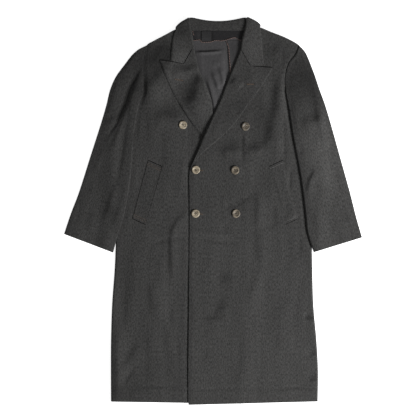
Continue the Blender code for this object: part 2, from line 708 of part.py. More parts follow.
# Sleeves: the under piece lies on the surface and the body's side, the upper one covers it
def sleeve(side, sections, ground, folds, inner_right):
    def under_height(x, y, share):
        return ground(x, y) + BODY_WALL

    def upper_height(x, y, share):
        inner = share if inner_right else 1 - share
        rest = ground(x, y) + BODY_WALL + GAP * 1.5
        seam = smooth((y - 0.90) / 0.06)
        rest += max(0.0, BODY_STACK + GAP - rest) * inner**3 * seam
        puff = SLEEVE_PUFF * (1 - (2 * share - 1) ** 4)
        return rest + BODY_WALL + puff + fold_height(folds, x, y) * (1 - (2 * share - 1) ** 6)

    def foot(x, y):
        return ground(x, y) + EDGE_FOOT

    under = []
    upper = []
    for row in sections:
        way = np.array((row.right_x - row.left_x, row.right_y - row.left_y))
        way = way / np.linalg.norm(way)
        inset = way * EDGE_INSET
        left = row.left_x + inset[0], row.left_y + inset[1]
        right = row.right_x - inset[0], row.right_y - inset[1]
        under.append(Section(left[0], left[1], 0, right[0], right[1], 0))
        lap = way * SLEEVE_LAP * (1 - (row.right_roll if inner_right else row.left_roll))
        if inner_right:
            right = row.right_x + lap[0], row.right_y + lap[1]
            upper.append(row._replace(right_x=right[0], right_y=right[1]))
        else:
            left = row.left_x - lap[0], row.left_y - lap[1]
            upper.append(row._replace(left_x=left[0], left_y=left[1]))
    panel(
        "sleeve_" + side + "_under", under[:-1], 18, stations(8, 0, 0),
        under_height, foot, BODY_WALL, WOOL, 0.95,
    )
    panel(
        "sleeve_" + side + "_upper", upper, 24, stations(9, 2, 2),
        upper_height, foot, BODY_WALL, WOOL, 0.95,
    )


sleeve("right", RIGHT_SLEEVE, right_ground, RIGHT_SLEEVE_FOLDS, True)
sleeve("left", LEFT_SLEEVE, left_ground, LEFT_SLEEVE_FOLDS, False)

# Welts, on the points of the fronts
mirrored = [
    Section(-row.right_x, row.right_y, 0, -row.left_x, row.left_y, 0) for row in WELT
]
for side, corners, top in (("left", WELT, left_front_top), ("right", mirrored, right_front_top)):
    panel(
        "welt_" + side, corners, 8, stations(2, 0, 0),
        lambda x, y, share, top=top: top(x, y) + GAP + WELT_WALL, lambda x, y: 0.0,
        WELT_WALL, WOOL, 0.95,
    )

# Buttons: the first is on the right front, the others on the left front
for number, centre in enumerate(BUTTONS, 1):
    button("button_%d" % number, centre, right_front_top if number == 1 else left_front_top)

# The origin is under the middle of the coat
bpy.context.view_layer.update()
graph = bpy.context.evaluated_depsgraph_get()
spread = []
for obj in coat.objects:
    if obj is not pivot:
        shown = obj.evaluated_get(graph)
        mesh = shown.to_mesh()
        spread += [obj.matrix_world @ vert.co for vert in mesh.vertices]
        shown.to_mesh_clear()
low, high = np.min(spread, axis=0), np.max(spread, axis=0)
pivot.location = (-(low[0] + high[0]) / 2, -(low[1] + high[1]) / 2, -low[2])
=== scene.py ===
import math

import bmesh
import bpy
import numpy as np
from mathutils import Matrix, Vector, noise


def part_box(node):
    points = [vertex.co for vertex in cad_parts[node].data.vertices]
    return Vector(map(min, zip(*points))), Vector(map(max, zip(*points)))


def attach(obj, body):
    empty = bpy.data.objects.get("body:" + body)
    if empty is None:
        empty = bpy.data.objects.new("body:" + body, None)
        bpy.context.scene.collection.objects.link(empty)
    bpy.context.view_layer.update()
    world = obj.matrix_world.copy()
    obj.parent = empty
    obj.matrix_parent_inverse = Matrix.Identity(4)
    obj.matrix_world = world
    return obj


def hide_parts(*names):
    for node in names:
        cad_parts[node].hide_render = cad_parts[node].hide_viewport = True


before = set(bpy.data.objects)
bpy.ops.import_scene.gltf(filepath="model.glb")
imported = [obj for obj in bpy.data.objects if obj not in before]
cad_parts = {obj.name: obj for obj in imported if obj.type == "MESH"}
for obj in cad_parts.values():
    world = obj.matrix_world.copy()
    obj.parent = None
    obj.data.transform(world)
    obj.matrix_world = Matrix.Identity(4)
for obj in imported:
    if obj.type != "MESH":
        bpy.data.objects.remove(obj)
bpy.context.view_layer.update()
print("coat loaded with", len(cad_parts), "nodes")

# plan sizes in metres: x from the centre line to the wearer's left, y up from the hem
layers = {
    "gap": 0.0006,
    "bodyWall": 0.002,
    "frontTop": 0.0066,   # upper face of a front that lies on the back
    "step": 0.0036,       # one more layer of front
    "bodyStack": 0.0072,
}
edge = {
    "run": 0.006,         # width of a rolled edge
    "angle": math.radians(80),
    "foot": 0.0005,
    "inset": 0.0046,
    "turns": 5,
    "dropRun": 0.0042,    # an outer edge turns down over this width
}
foldLean = {"way": (0.87, -0.50), "share": 0.35}   # folds lean over towards the upper right arm
firstButton = (-0.1007, 0.866)
low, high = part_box("button_1")
shift = ((low.x + high.x) / 2 - firstButton[0], (low.y + high.y) / 2 - firstButton[1])


def soft(value):
    t = np.clip(value, 0, 1)
    return t * t * (3 - 2 * t)


def rowAt(rows, t):
    # smooth curve through the rows of a table
    table = np.array(rows, dtype=float)
    last = len(table) - 1
    i = np.clip(np.floor(t).astype(int), 0, last - 1)
    f = (t - i)[:, None]
    before = table[np.maximum(i - 1, 0)]
    a = table[i]
    b = table[i + 1]
    after = table[np.minimum(i + 2, last)]
    start = (b - before) / 2
    end = (after - a) / 2
    value = a * (2 * f**3 - 3 * f**2 + 1) + start * (f**3 - 2 * f**2 + f)
    return value + b * (3 * f**2 - 2 * f**3) + end * (f**3 - f**2)


def evenSteps(rows, count, first, second):
    # places along a table so that the rows of the grid lie evenly
    t = np.linspace(0, len(rows) - 1, 600)
    table = rowAt(rows, t)
    middle = (table[:, first:first + 2] + table[:, second:second + 2]) / 2
    run = np.cumsum(np.linalg.norm(np.diff(middle, axis=0), axis=1))
    run = np.concatenate(([0.0], run))
    return np.interp(np.linspace(0, run[-1], count + 1), run, t)


def stations(flat, leftTurns, rightTurns):
    places = [(0.0, -(k + 1) / leftTurns) for k in reversed(range(leftTurns))]
    places += [(k / flat, 0.0) for k in range(flat + 1)]
    places += [(1.0, (k + 1) / rightTurns) for k in range(rightTurns)]
    return np.array(places)


def creaseHeight(creases, x, y):
    # a crease follows a line of points x, y and ends with its rise and its width
    total = np.zeros_like(x)
    for crease in creases:
        points = np.array(crease[:-2]).reshape(-1, 2)
        rise, width = crease[-2:]
        legs = np.diff(points, axis=0)
        lengths = np.linalg.norm(legs, axis=1)
        off = np.full_like(x, 9.0)
        along = np.zeros_like(x)
        lean = np.zeros_like(x)
        for k, (legX, legY) in enumerate(legs):
            awayX = x - points[k, 0]
            awayY = y - points[k, 1]
            t = np.clip((awayX * legX + awayY * legY) / lengths[k] ** 2, 0, 1)
            awayX = awayX - t * legX
            awayY = awayY - t * legY
            distance = np.hypot(awayX, awayY)
            nearer = distance < off
            off = np.where(nearer, distance, off)
            along = np.where(nearer, (lengths[:k].sum() + t * lengths[k]) / lengths.sum(), along)
            side = (awayX * foldLean["way"][0] + awayY * foldLean["way"][1]) / np.maximum(distance, 1e-6)
            lean = np.where(nearer, side, lean)
        steep = width * (1 + foldLean["share"] * lean * np.sign(rise))
        fade = soft((along + 0.12) / 0.4) * soft((1.12 - along) / 0.4)
        total += rise * fade * np.exp(-((off / steep) ** 2))
    return total


def restOn(height, least):
    # cloth that sinks comes to rest softly on the layer beneath
    give = 0.0005
    return least + give * np.log1p(np.exp(np.clip((height - least) / give, -30, 30)))


def slackHeight(slack, x, y):
    # slow unevenness of cloth that was laid by hand
    wide = slack["across"]
    tall = slack["along"]
    level = slack["seed"] * 3.7
    return slack["rise"] * np.array([
        noise.noise(Vector((a / wide, b / tall, level)))
        + 0.5 * noise.noise(Vector((a / wide * 2.3, b / tall * 2.3, level + 9)))
        for a, b in zip(x, y)
    ])


# fronts, hem to neck: left x, y, roll, right x, y, roll
frontLeft = {
    "wall": 0.003,
    "columns": 116,
    "rows": 340,
    "cut": (0.40, 1.18),
    "area": 0.40,
    "sections": [
        (-0.084, 0.000, 0, 0.3170, 0.010, 1),
        (-0.084, 0.107, 0, 0.3180, 0.107, 1),
        (-0.083, 0.200, 0, 0.3130, 0.200, 1),
        (-0.082, 0.310, 0, 0.3035, 0.310, 1),
        (-0.081, 0.430, 0, 0.3000, 0.430, 1),
        (-0.080, 0.540, 0, 0.2980, 0.540, 1),
        (-0.080, 0.640, 0, 0.2960, 0.640, 1),
        (-0.079, 0.727, 0, 0.2940, 0.727, 1),
        (-0.0544, 0.775, 0, 0.2925, 0.790, 1),
        (-0.0304, 0.833, 0, 0.2910, 0.845, 1),
        (-0.0124, 0.874, 0, 0.2840, 0.874, 0.5),
        (0.0006, 0.904, 0, 0.2520, 0.896, 0),
        (0.0166, 0.940, 0, 0.2300, 0.926, 0),
        (0.0276, 0.967, 0, 0.2205, 0.962, 0),
        (0.0416, 1.003, 0, 0.2195, 1.005, 0),
        (0.0566, 1.040, 0, 0.2280, 1.050, 0),
        (0.0726, 1.073, 0, 0.2470, 1.078, 0),
        (0.0846, 1.115, 0, 0.2640, 1.1075, 0.5),
        (0.0896, 1.138, 0, 0.2260, 1.1330, 1),
        (0.0936, 1.155, 0, 0.1760, 1.1535, 1),
        (0.0976, 1.167, 0, 0.1440, 1.1660, 0),
        (0.1016, 1.176, 0, 0.1100, 1.175, 0),
    ],
    "creases": [
        (0.136, 0.660, 0.134, 0.547, 0.0040, 0.018),
        (0.134, 0.547, 0.146, 0.430, 0.0040, 0.020),
        (0.146, 0.430, 0.108, 0.320, 0.0022, 0.020),
        (0.060, 0.330, 0.010, 0.245, 0.0020, 0.036),
        (0.111, 0.653, 0.073, 0.625, -0.0020, 0.012),
        (0.073, 0.625, 0.030, 0.612, -0.0018, 0.011),
        (0.181, 0.622, 0.181, 0.548, -0.0020, 0.012),
        (0.215, 0.630, 0.222, 0.575, -0.0014, 0.009),
        (0.240, 0.610, 0.244, 0.580, 0.0016, 0.012),
        (0.2330, 0.730, 0.2300, 0.666, -0.0024, 0.0055),
        (0.258, 0.520, 0.262, 0.467, -0.0018, 0.009),
        (-0.078, 0.524, -0.030, 0.514, 0.004, 0.507, 0.066, 0.501, -0.0024, 0.0070),
        (-0.070, 0.540, -0.020, 0.532, 0.040, 0.522, 0.0020, 0.0090),
        (0.012, 0.552, 0.036, 0.536, -0.0018, 0.013),
        (0.000, 0.402, 0.030, 0.388, -0.0020, 0.014),
        (0.015, 0.327, -0.001, 0.290, -0.018, 0.264, -0.0013, 0.015),
        (-0.018, 0.264, -0.054, 0.287, -0.0015, 0.009),
        (-0.042, 0.236, -0.030, 0.225, -0.0012, 0.009),
        (-0.060, 0.166, -0.022, 0.154, -0.0012, 0.012),
        (0.304, 0.276, 0.272, 0.270, -0.0030, 0.008),
        (0.312, 0.178, 0.286, 0.150, -0.0026, 0.010),
        (0.312, 0.096, 0.286, 0.074, -0.0026, 0.010),
        (0.197, 1.022, 0.194, 0.913, 0.176, 0.822, 0.125, 0.766, 0.0055, 0.028),
        (0.201, 1.020, 0.200, 0.960, 0.198, 0.890, 0.0014, 0.012),
        (0.160, 1.108, 0.198, 1.080, 0.0024, 0.012),
        (0.180, 1.010, 0.173, 0.900, -0.0018, 0.014),
        (0.2115, 0.904, 0.2125, 0.746, -0.0018, 0.010),
        (0.191, 0.835, 0.188, 0.758, 0.0016, 0.013),
        (0.116, 0.907, 0.168, 0.842, -0.0022, 0.016),
        (0.103, 0.800, 0.100, 0.776, -0.0020, 0.015),
        (0.126, 0.830, 0.134, 0.770, 0.0015, 0.014),
        (0.018, 0.780, 0.050, 0.783, 0.078, 0.778, 0.0036, 0.014),
        (0.094, 0.788, 0.120, 0.790, 0.146, 0.782, 0.0034, 0.013),
        (0.0853, 0.842, 0.0853, 0.752, -0.0022, 0.0060),
        (0.166, 1.112, 0.1845, 1.099, -0.0018, 0.012),
        (0.2060, 1.093, 0.2080, 1.049, -0.0014, 0.007),
        (0.205, 0.330, 0.214, 0.150, 0.0018, 0.026),
        (0.095, 0.230, 0.085, 0.060, 0.0014, 0.024),
        (0.255, 0.400, 0.246, 0.250, -0.0014, 0.018),
    ],
    "hem": (0.050, 0.0016, 0.0050),   # height of the hem's stitching, depth, width
    "slack": {"rise": 0.0013, "across": 0.060, "along": 0.150, "seed": 2},
    # painted shade and painted light: patches that darken (tone below 1) or lighten (tone above 1) the
    # colour: x, y, reach across, reach along, tone
    "paintedShadingAndTone": [
        (0.140, 0.875, 0.045, 0.065, 0.74), (0.190, 1.090, 0.050, 0.030, 0.84),
        (0.055, 0.802, 0.050, 0.018, 0.76), (0.122, 0.802, 0.026, 0.012, 0.80),
        (0.085, 0.625, 0.024, 0.034, 0.86), (0.040, 0.393, 0.032, 0.012, 0.86),
        (0.012, 0.304, 0.016, 0.026, 0.80), (-0.010, 0.268, 0.026, 0.007, 0.78),
        (0.290, 0.270, 0.014, 0.008, 0.70), (0.300, 0.172, 0.010, 0.026, 0.80),
        (0.302, 0.085, 0.014, 0.014, 0.78), (0.250, 0.050, 0.090, 0.004, 0.84),
        (0.0853, 0.800, 0.004, 0.045, 0.68), (0.000, 0.500, 0.070, 0.100, 1.10),
    ],
}
frontRight = {
    "wall": 0.003,
    "columns": 116,
    "rows": 340,
    "cut": (0.40, 1.17),
    "area": 0.40,
    "sections": [
        (-0.3240, 0.0095, 1, 0.0790, 0.003, 0),
        (-0.3245, 0.107, 1, 0.0790, 0.107, 0),
        (-0.3240, 0.200, 1, 0.0790, 0.200, 0),
        (-0.3205, 0.310, 1, 0.0790, 0.310, 0),
        (-0.3120, 0.430, 1, 0.0790, 0.430, 0),
        (-0.3080, 0.540, 1, 0.0790, 0.540, 0),
        (-0.3030, 0.640, 1, 0.0790, 0.640, 0),
        (-0.2985, 0.727, 1, 0.0790, 0.727, 0),
        (-0.2955, 0.790, 1, 0.0494, 0.780, 0),
        (-0.2930, 0.845, 1, 0.0234, 0.835, 0),
        (-0.2870, 0.876, 0.5, 0.0044, 0.872, 0),
        (-0.2580, 0.898, 0, -0.0118, 0.907, 0),
        (-0.2360, 0.930, 0, -0.0183, 0.944, 0),
        (-0.2265, 0.966, 0, -0.0289, 0.975, 0),
        (-0.2245, 1.003, 0, -0.0413, 1.004, 0),
        (-0.2260, 1.042, 0, -0.0556, 1.035, 0),
        (-0.2225, 1.080, 0, -0.0656, 1.074, 0),
        (-0.2155, 1.112, 0.5, -0.0716, 1.110, 0),
        (-0.1905, 1.128, 1, -0.0761, 1.133, 0),
        (-0.1600, 1.144, 1, -0.0791, 1.150, 0),
        (-0.1290, 1.1600, 0, -0.0821, 1.163, 0),
        (-0.0980, 1.171, 0, -0.0846, 1.173, 0),
    ],
    "creases": [
        (-0.0860, 0.5940, -0.1130, 0.5720, -0.1300, 0.5420, -0.1350, 0.5100, -0.1335, 0.4500,
         -0.1320, 0.3700, 0.0034, 0.0130),
        (-0.200, 0.496, -0.160, 0.510, -0.092, 0.517, -0.0018, 0.0065),
        (-0.197, 0.380, -0.181, 0.270, 0.0030, 0.022),
        (-0.166, 0.470, -0.168, 0.360, 0.0010, 0.014),
        (-0.138, 0.305, -0.140, 0.258, -0.0012, 0.008),
        (-0.118, 0.202, -0.114, 0.146, -0.0014, 0.008),
        (-0.285, 0.100, -0.235, 0.180, 0.0030, 0.022),
        (-0.2505, 0.116, -0.288, 0.061, -0.0022, 0.010),
        (-0.306, 0.150, -0.300, 0.085, 0.0014, 0.012),
        (-0.2155, 0.960, -0.172, 1.004, -0.141, 1.043, -0.1255, 1.074, -0.1195, 1.120, 0.0085, 0.040),
        (-0.200, 1.040, -0.172, 1.075, -0.150, 1.110, 0.0040, 0.030),
        (-0.190, 0.886, -0.140, 0.884, -0.100, 0.872, 0.0042, 0.024),
        (-0.300, 0.240, -0.303, 0.120, -0.300, 0.010, 0.0030, 0.018),
        (-0.205, 1.010, -0.192, 0.800, 0.0022, 0.024),
        (-0.150, 0.860, -0.140, 0.700, 0.0014, 0.020),
        (-0.170, 0.800, -0.176, 0.620, -0.0012, 0.014),
        (-0.245, 0.520, -0.252, 0.300, 0.0020, 0.022),
        (-0.280, 0.450, -0.285, 0.240, -0.0014, 0.014),
        (-0.100, 0.760, -0.112, 0.640, 0.0012, 0.014),
        (-0.205, 0.240, -0.190, 0.070, 0.0014, 0.022),
        (-0.160, 0.240, -0.150, 0.075, -0.0010, 0.014),
    ],
    "hem": (0.055, 0.0016, 0.0050),
    "slack": {"rise": 0.0013, "across": 0.055, "along": 0.150, "seed": 5},
    # painted shade and painted light: x, y, reach across, reach along, tone
    "paintedShadingAndTone": [
        (-0.190, 1.075, 0.060, 0.050, 0.58), (-0.222, 0.980, 0.018, 0.070, 0.84),
        (-0.150, 0.908, 0.034, 0.022, 0.72), (-0.300, 0.030, 0.055, 0.030, 0.80),
        (-0.320, 0.130, 0.010, 0.130, 0.74), (-0.220, 0.055, 0.110, 0.004, 0.82),
        (-0.115, 0.080, 0.030, 0.050, 0.90), (-0.250, 0.420, 0.060, 0.120, 0.93),
        (-0.200, 0.120, 0.070, 0.100, 0.91), (-0.270, 0.060, 0.060, 0.050, 0.92),
        (-0.175, 0.965, 0.030, 0.045, 1.14), (-0.160, 0.645, 0.018, 0.060, 1.08),
        (-0.150, 1.112, 0.030, 0.018, 0.86),
    ],
}
# height of the roll over the body: y, on the left front, on the right front
rollLift = np.array([
    (0.720, 0.000, 0.000),
    (0.800, 0.0004, 0.000),
    (0.860, 0.0006, 0.000),
    (0.905, 0.0008, 0.001),
    (0.970, 0.0008, 0.0016),
    (1.030, 0.0012, 0.0022),
    (1.100, 0.0026, 0.0032),
    (1.150, 0.0040, 0.0036),
    (1.200, 0.0040, 0.003),
])
overlap = {
    "reach": 0.090,       # how far from the fold line the roll lifts the front
    "underEdge": 0.079,   # hidden edge of the right front
    "margin": 0.010,
    "run": 0.075,
    "hiddenX": (0.0735, 0.030, -0.020, -0.058, -0.085),
    "hiddenY": (0.737, 0.778, 0.815, 0.852, 0.890),
    "hiddenRun": 0.030,
    "breakY": 0.690,      # the right lapel lies underneath above this
    "breakRun": 0.05,
    "neckY": 0.95,        # the fronts part above this
    "neckRun": 0.08,
    "edgeFall": 0.0012,   # the lap thins to its edge
    "edgeRun": 0.012,
    "edgeTop": 0.80,
    "edgeFade": 0.05,
    "edgeOff": 0.002,
    "openY": 0.86,        # the right front shows beside the lap above this
    "openRun": 0.06,
    "openX": -0.010,
    "openFade": 0.02,
    "depth": 1.2,         # how deep the creases of the fronts are
    "loft": 0.0012,
    "least": -0.0012,
}
hemWave = {"rise": 0.002, "turns": 31}   # the hem's stitching isn't quite straight
# sleeves, cuff to shoulder: left x, y, roll, right x, y, roll
sleeveLeft = {
    "columns": 56,
    "rows": 200,
    "cut": (0.165, 0.64),
    "area": 0.080,
    "underCut": (0.150, 0.63),
    "underArea": 0.075,
    "grain": 0.26,
    "innerRight": False,
    "crown": 0.0028,      # the inner edge stands up
    "level": 0.0,
    "sections": [
        (0.3035, 0.472, 1, 0.4545, 0.5180, 1),
        (0.2840, 0.532, 1, 0.4365, 0.5800, 1),
        (0.2770, 0.597, 1, 0.4165, 0.6590, 1),
        (0.2620, 0.711, 1, 0.3850, 0.7720, 1),
        (0.2400, 0.826, 1, 0.3590, 0.8650, 1),
        (0.2280, 0.905, 1, 0.3390, 0.9315, 1),
        (0.2205, 0.962, 0.3, 0.3230, 0.9750, 1),
        (0.2195, 1.010, 0, 0.3080, 1.0200, 1),
        (0.2300, 1.055, 0, 0.2920, 1.0620, 1),
        (0.2495, 1.0815, 0, 0.2805, 1.0885, 1),
        (0.2620, 1.1080, 0, 0.2690, 1.1040, 0.6),
    ],
    "creases": [
        (0.286, 1.000, 0.300, 0.940, 0.306, 0.880, -0.0036, 0.017),
        (0.262, 0.862, 0.300, 0.868, 0.342, 0.884, 0.0058, 0.026),
        (0.316, 0.921, 0.3425, 0.790, 0.0042, 0.017),
        (0.318, 0.842, 0.318, 0.792, 0.0020, 0.016),
        (0.240, 1.020, 0.242, 0.995, 0.0018, 0.012),
        (0.238, 0.942, 0.250, 0.854, 0.0020, 0.011),
        (0.2465, 1.073, 0.2465, 1.052, -0.0016, 0.006),
        (0.2535, 0.803, 0.268, 0.783, -0.0024, 0.010),
        (0.310, 0.726, 0.292, 0.692, 0.284, 0.652, 0.0042, 0.011),
        (0.320, 0.735, 0.345, 0.620, 0.0030, 0.020),
        (0.370, 0.735, 0.385, 0.650, -0.0016, 0.013),
        (0.380, 0.612, 0.405, 0.568, -0.0020, 0.013),
        (0.310, 0.600, 0.332, 0.510, 0.0018, 0.016),
        (0.400, 0.640, 0.425, 0.560, 0.0016, 0.013),
    ],
    "slack": {"rise": 0.0012, "across": 0.050, "along": 0.120, "seed": 7},
    # painted shade on the sleeve head, painted light lower down: x, y, reach across, reach along, tone
    "paintedShadingAndTone": [
        (0.275, 1.000, 0.060, 0.085, 0.48), (0.310, 0.790, 0.060, 0.095, 1.30),
        (0.365, 0.690, 0.050, 0.080, 1.20),
    ],
}
sleeveRight = {
    "columns": 56,
    "rows": 200,
    "cut": (0.168, 0.64),
    "area": 0.080,
    "underCut": (0.155, 0.63),
    "underArea": 0.075,
    "grain": -0.28,
    "innerRight": True,
    "crown": 0.0,
    "level": 1.0,         # no fall to the seam at the top
    "sections": [
        (-0.4695, 0.5285, 1, -0.3170, 0.471, 1),
        (-0.4490, 0.590, 1, -0.2990, 0.535, 1),
        (-0.4225, 0.660, 1, -0.2805, 0.597, 1),
        (-0.3865, 0.773, 1, -0.2620, 0.711, 1),
        (-0.3570, 0.865, 1, -0.2525, 0.832, 1),
        (-0.3385, 0.928, 1, -0.2400, 0.915, 1),
        (-0.3270, 0.975, 1, -0.2255, 0.966, 0.3),
        (-0.3090, 1.016, 1, -0.2260, 1.015, 0),
        (-0.2830, 1.052, 1, -0.2270, 1.060, 0),
        (-0.2590, 1.083, 1, -0.2220, 1.090, 0),
        (-0.2400, 1.1000, 0.6, -0.2140, 1.1120, 0),
    ],
    "creases": [
        (-0.2316, 1.0447, -0.2669, 0.9812, -0.2837, 0.9303, -0.3072, 0.8699, -0.3376, 0.8262,
         -0.0040, 0.0080),
        (-0.226, 1.030, -0.250, 0.972, -0.269, 0.920, -0.290, 0.862, -0.324, 0.780, 0.0036, 0.012),
        (-0.265, 0.950, -0.303, 0.690, -0.0024, 0.010),
        (-0.300, 0.690, -0.345, 0.560, 0.0030, 0.015),
        (-0.262, 0.693, -0.290, 0.618, 0.0026, 0.010),
        (-0.290, 0.618, -0.318, 0.548, 0.0020, 0.010),
        (-0.305, 0.995, -0.340, 0.890, 0.0018, 0.013),
        (-0.380, 0.720, -0.402, 0.650, -0.0016, 0.014),
        (-0.420, 0.618, -0.436, 0.565, -0.0018, 0.016),
        (-0.350, 0.790, -0.372, 0.720, 0.0014, 0.012),
        (-0.375, 0.600, -0.392, 0.530, 0.0018, 0.016),
    ],
    "slack": {"rise": 0.0012, "across": 0.050, "along": 0.120, "seed": 11},
    # painted shade along the inner side of the sleeve: x, y, reach across, reach along, tone
    "paintedShadingAndTone": [
        (-0.250, 1.030, 0.050, 0.090, 0.67), (-0.246, 0.985, 0.016, 0.050, 0.70),
        (-0.260, 0.905, 0.016, 0.050, 0.64), (-0.270, 0.825, 0.018, 0.055, 0.68),
        (-0.276, 0.740, 0.018, 0.055, 0.74), (-0.288, 0.655, 0.018, 0.055, 0.70),
        (-0.305, 0.575, 0.018, 0.050, 0.70), (-0.324, 0.603, 0.014, 0.030, 0.74),
        (-0.295, 0.900, 0.030, 0.080, 0.84),
    ],
}
sleeveFall = {
    "puff": 0.0034,
    "lap": 0.003,
    "margin": 0.012,
    "run": 0.056,
    "crownTop": 0.985,    # above this the inner edge lies close
    "crownFade": 0.100,
    "seamRise": 0.0070,   # the armhole seam lies on the front
    "seamSink": 0.4,
    "seamLow": 0.90,
    "seamRun": 0.06,
    "seamTop": 1.020,
    "seamFade": 0.060,
    "underColumns": 24,
    "underRows": 80,
    "quietOff": 0.002,    # the body lies flat beneath a sleeve
    "quietRun": 0.014,
    "cuffY": 0.470,
}


def rollHeight(front, side, x, y):
    table = np.array(front["sections"])
    at = 0 if side == 1 else 3
    line = np.interp(y, table[:, at + 1], table[:, at])
    near = np.clip(1 - np.abs(x - line) / overlap["reach"], 0, None)
    return np.interp(y, rollLift[:, 0], rollLift[:, side]) * near**2


def hemHeight(front, x, y):
    place, depth, width = front["hem"]
    line = place + hemWave["rise"] * np.sin(x * hemWave["turns"])
    return -depth * np.exp(-(((y - line) / width) ** 2))


def underSleeve(x, y):
    # the body lies quiet where a sleeve covers it
    left = np.array(sleeveLeft["sections"])
    right = np.array(sleeveRight["sections"])
    leftEdge = np.interp(y, left[:, 1], left[:, 0])
    rightEdge = np.interp(y, right[:, 4], right[:, 3])
    quiet = soft((leftEdge - sleeveFall["quietOff"] - x) / sleeveFall["quietRun"])
    quiet = quiet * soft((x - rightEdge - sleeveFall["quietOff"]) / sleeveFall["quietRun"])
    return np.where(y < sleeveFall["cuffY"], 1.0, quiet)


def looseHeight(front, x, y):
    # creases, hem and slack of a front, at rest on what lies beneath
    loose = creaseHeight(front["creases"], x, y) * overlap["depth"] + hemHeight(front, x, y)
    return restOn(loose + slackHeight(front["slack"], x, y) + overlap["loft"], overlap["least"])


def frontLeftTop(x, y):
    beneath = soft((overlap["underEdge"] + overlap["margin"] + overlap["run"] - x) / overlap["run"])
    beneath = beneath * soft((overlap["neckY"] - y) / overlap["neckRun"])
    hidden = np.interp(y, overlap["hiddenY"], overlap["hiddenX"])   # outer edge of the lapel underneath
    doubled = soft((x - hidden + overlap["hiddenRun"]) / overlap["hiddenRun"])
    count = 1 + doubled * soft((y - overlap["breakY"]) / overlap["breakRun"])
    top = layers["frontTop"] + layers["step"] * beneath * count
    table = np.array(frontLeft["sections"])
    free = np.interp(y, table[:, 1], table[:, 0])
    thin = overlap["edgeFall"] * (1 - soft((x - free) / overlap["edgeRun"]))
    top = top - thin * soft((overlap["edgeTop"] - y) / overlap["edgeFade"])
    return top + rollHeight(frontLeft, 1, x, y) + looseHeight(frontLeft, x, y) * underSleeve(x, y)


def frontRightTop(x, y):
    clear = soft((frontLeft["sections"][0][0] + overlap["edgeOff"] - x) / overlap["edgeRun"])
    shown = soft((y - overlap["openY"]) / overlap["openRun"])
    clear = np.maximum(clear, shown * soft((overlap["openX"] - x) / overlap["openFade"]))
    top = layers["frontTop"] + rollHeight(frontRight, 2, x, y)
    return top + looseHeight(frontRight, x, y) * clear * underSleeve(x, y)


def bodyRise(reach, reachY, x, y):
    side = np.interp(y, reachY, reach)
    over = soft((side + sleeveFall["margin"] + sleeveFall["run"] - np.abs(x)) / sleeveFall["run"])
    return layers["bodyStack"] * over * soft((sleeveFall["seamTop"] - y) / sleeveFall["seamFade"])


def groundLeft(x, y):
    table = np.array(frontLeft["sections"])
    return bodyRise(table[:, 3], table[:, 4], x, y)


def groundRight(x, y):
    table = np.array(frontRight["sections"])
    return bodyRise(-table[:, 0], table[:, 1], x, y)


# each patch scales the cloth's colour by its tone: below 1 darkens it, mostly as painted shade; above 1
# lightens it as painted light
def paintedShadingAndToneAt(patches, x, y):
    tone = np.ones_like(x)
    for atX, atY, across, along, least in patches:
        tone *= 1 - (1 - least) * np.exp(-(((x - atX) / across) ** 2) - ((y - atY) / along) ** 2)
    return tone


def layOnGrid(name, columns, rows, shape, grain, patches):
    # a flat grid whose points go to their places on the coat, with cloth coordinates in metres
    bm = bmesh.new()
    bmesh.ops.create_grid(bm, x_segments=columns, y_segments=rows, size=0.5)
    mesh = bpy.data.meshes.new(name)
    bm.to_mesh(mesh)
    bm.free()
    start = np.zeros(len(mesh.vertices) * 3)
    mesh.vertices.foreach_get("co", start)
    start = start.reshape(-1, 3)
    i = np.rint((start[:, 0] + 0.5) * columns).astype(int)
    j = np.rint((start[:, 1] + 0.5) * rows).astype(int)
    x, y, z = shape(i, j)
    mesh.vertices.foreach_set("co", np.column_stack((x + shift[0], y + shift[1], z)).ravel())
    corner = np.zeros(len(mesh.loops), dtype=np.int32)
    mesh.loops.foreach_get("vertex_index", corner)
    across = x * math.cos(grain) + y * math.sin(grain)
    along = y * math.cos(grain) - x * math.sin(grain)
    weave = mesh.uv_layers.new(name="cloth")
    weave.data.foreach_set("uv", np.column_stack((across, along))[corner].ravel())
    ends = np.zeros(len(mesh.edges) * 2, dtype=np.int32)
    mesh.edges.foreach_get("vertices", ends)
    a, b = ends.reshape(-1, 2).T
    border = (i[a] == i[b]) & ((i[a] == 0) | (i[a] == columns))
    border |= (j[a] == j[b]) & ((j[a] == 0) | (j[a] == rows))
    crisp = mesh.attributes.new("sharp_edge", "BOOLEAN", "EDGE")
    crisp.data.foreach_set("value", border)
    # per-point colour factor for painted shade and painted light
    paintedShadingAndTone = mesh.attributes.new("paintedShadingAndTone", "FLOAT", "POINT")
    paintedShadingAndTone.data.foreach_set("value", paintedShadingAndToneAt(patches, x, y))
    mesh.polygons.foreach_set("use_smooth", np.ones(len(mesh.polygons), dtype=bool))
    mesh.update()
    return mesh


def addPiece(name, data, finish, slotName, *nodes):
    piece = bpy.data.objects.new(name, data)
    bpy.context.scene.collection.objects.link(piece)
    data.materials.append(finish)
    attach(piece, "root")
    if nodes:
        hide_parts(*nodes)
    return piece


def addCloth(name, columns, rows, shape, wall, finish, slotName, node, grain=0.0, patches=()):
    mesh = layOnGrid(name, columns, rows, shape, grain, patches)
    piece = addPiece(name, mesh, finish, slotName, node)
    thick = piece.modifiers.new("wall", "SOLIDIFY")
    thick.thickness = wall
    thick.offset = -1
    return piece


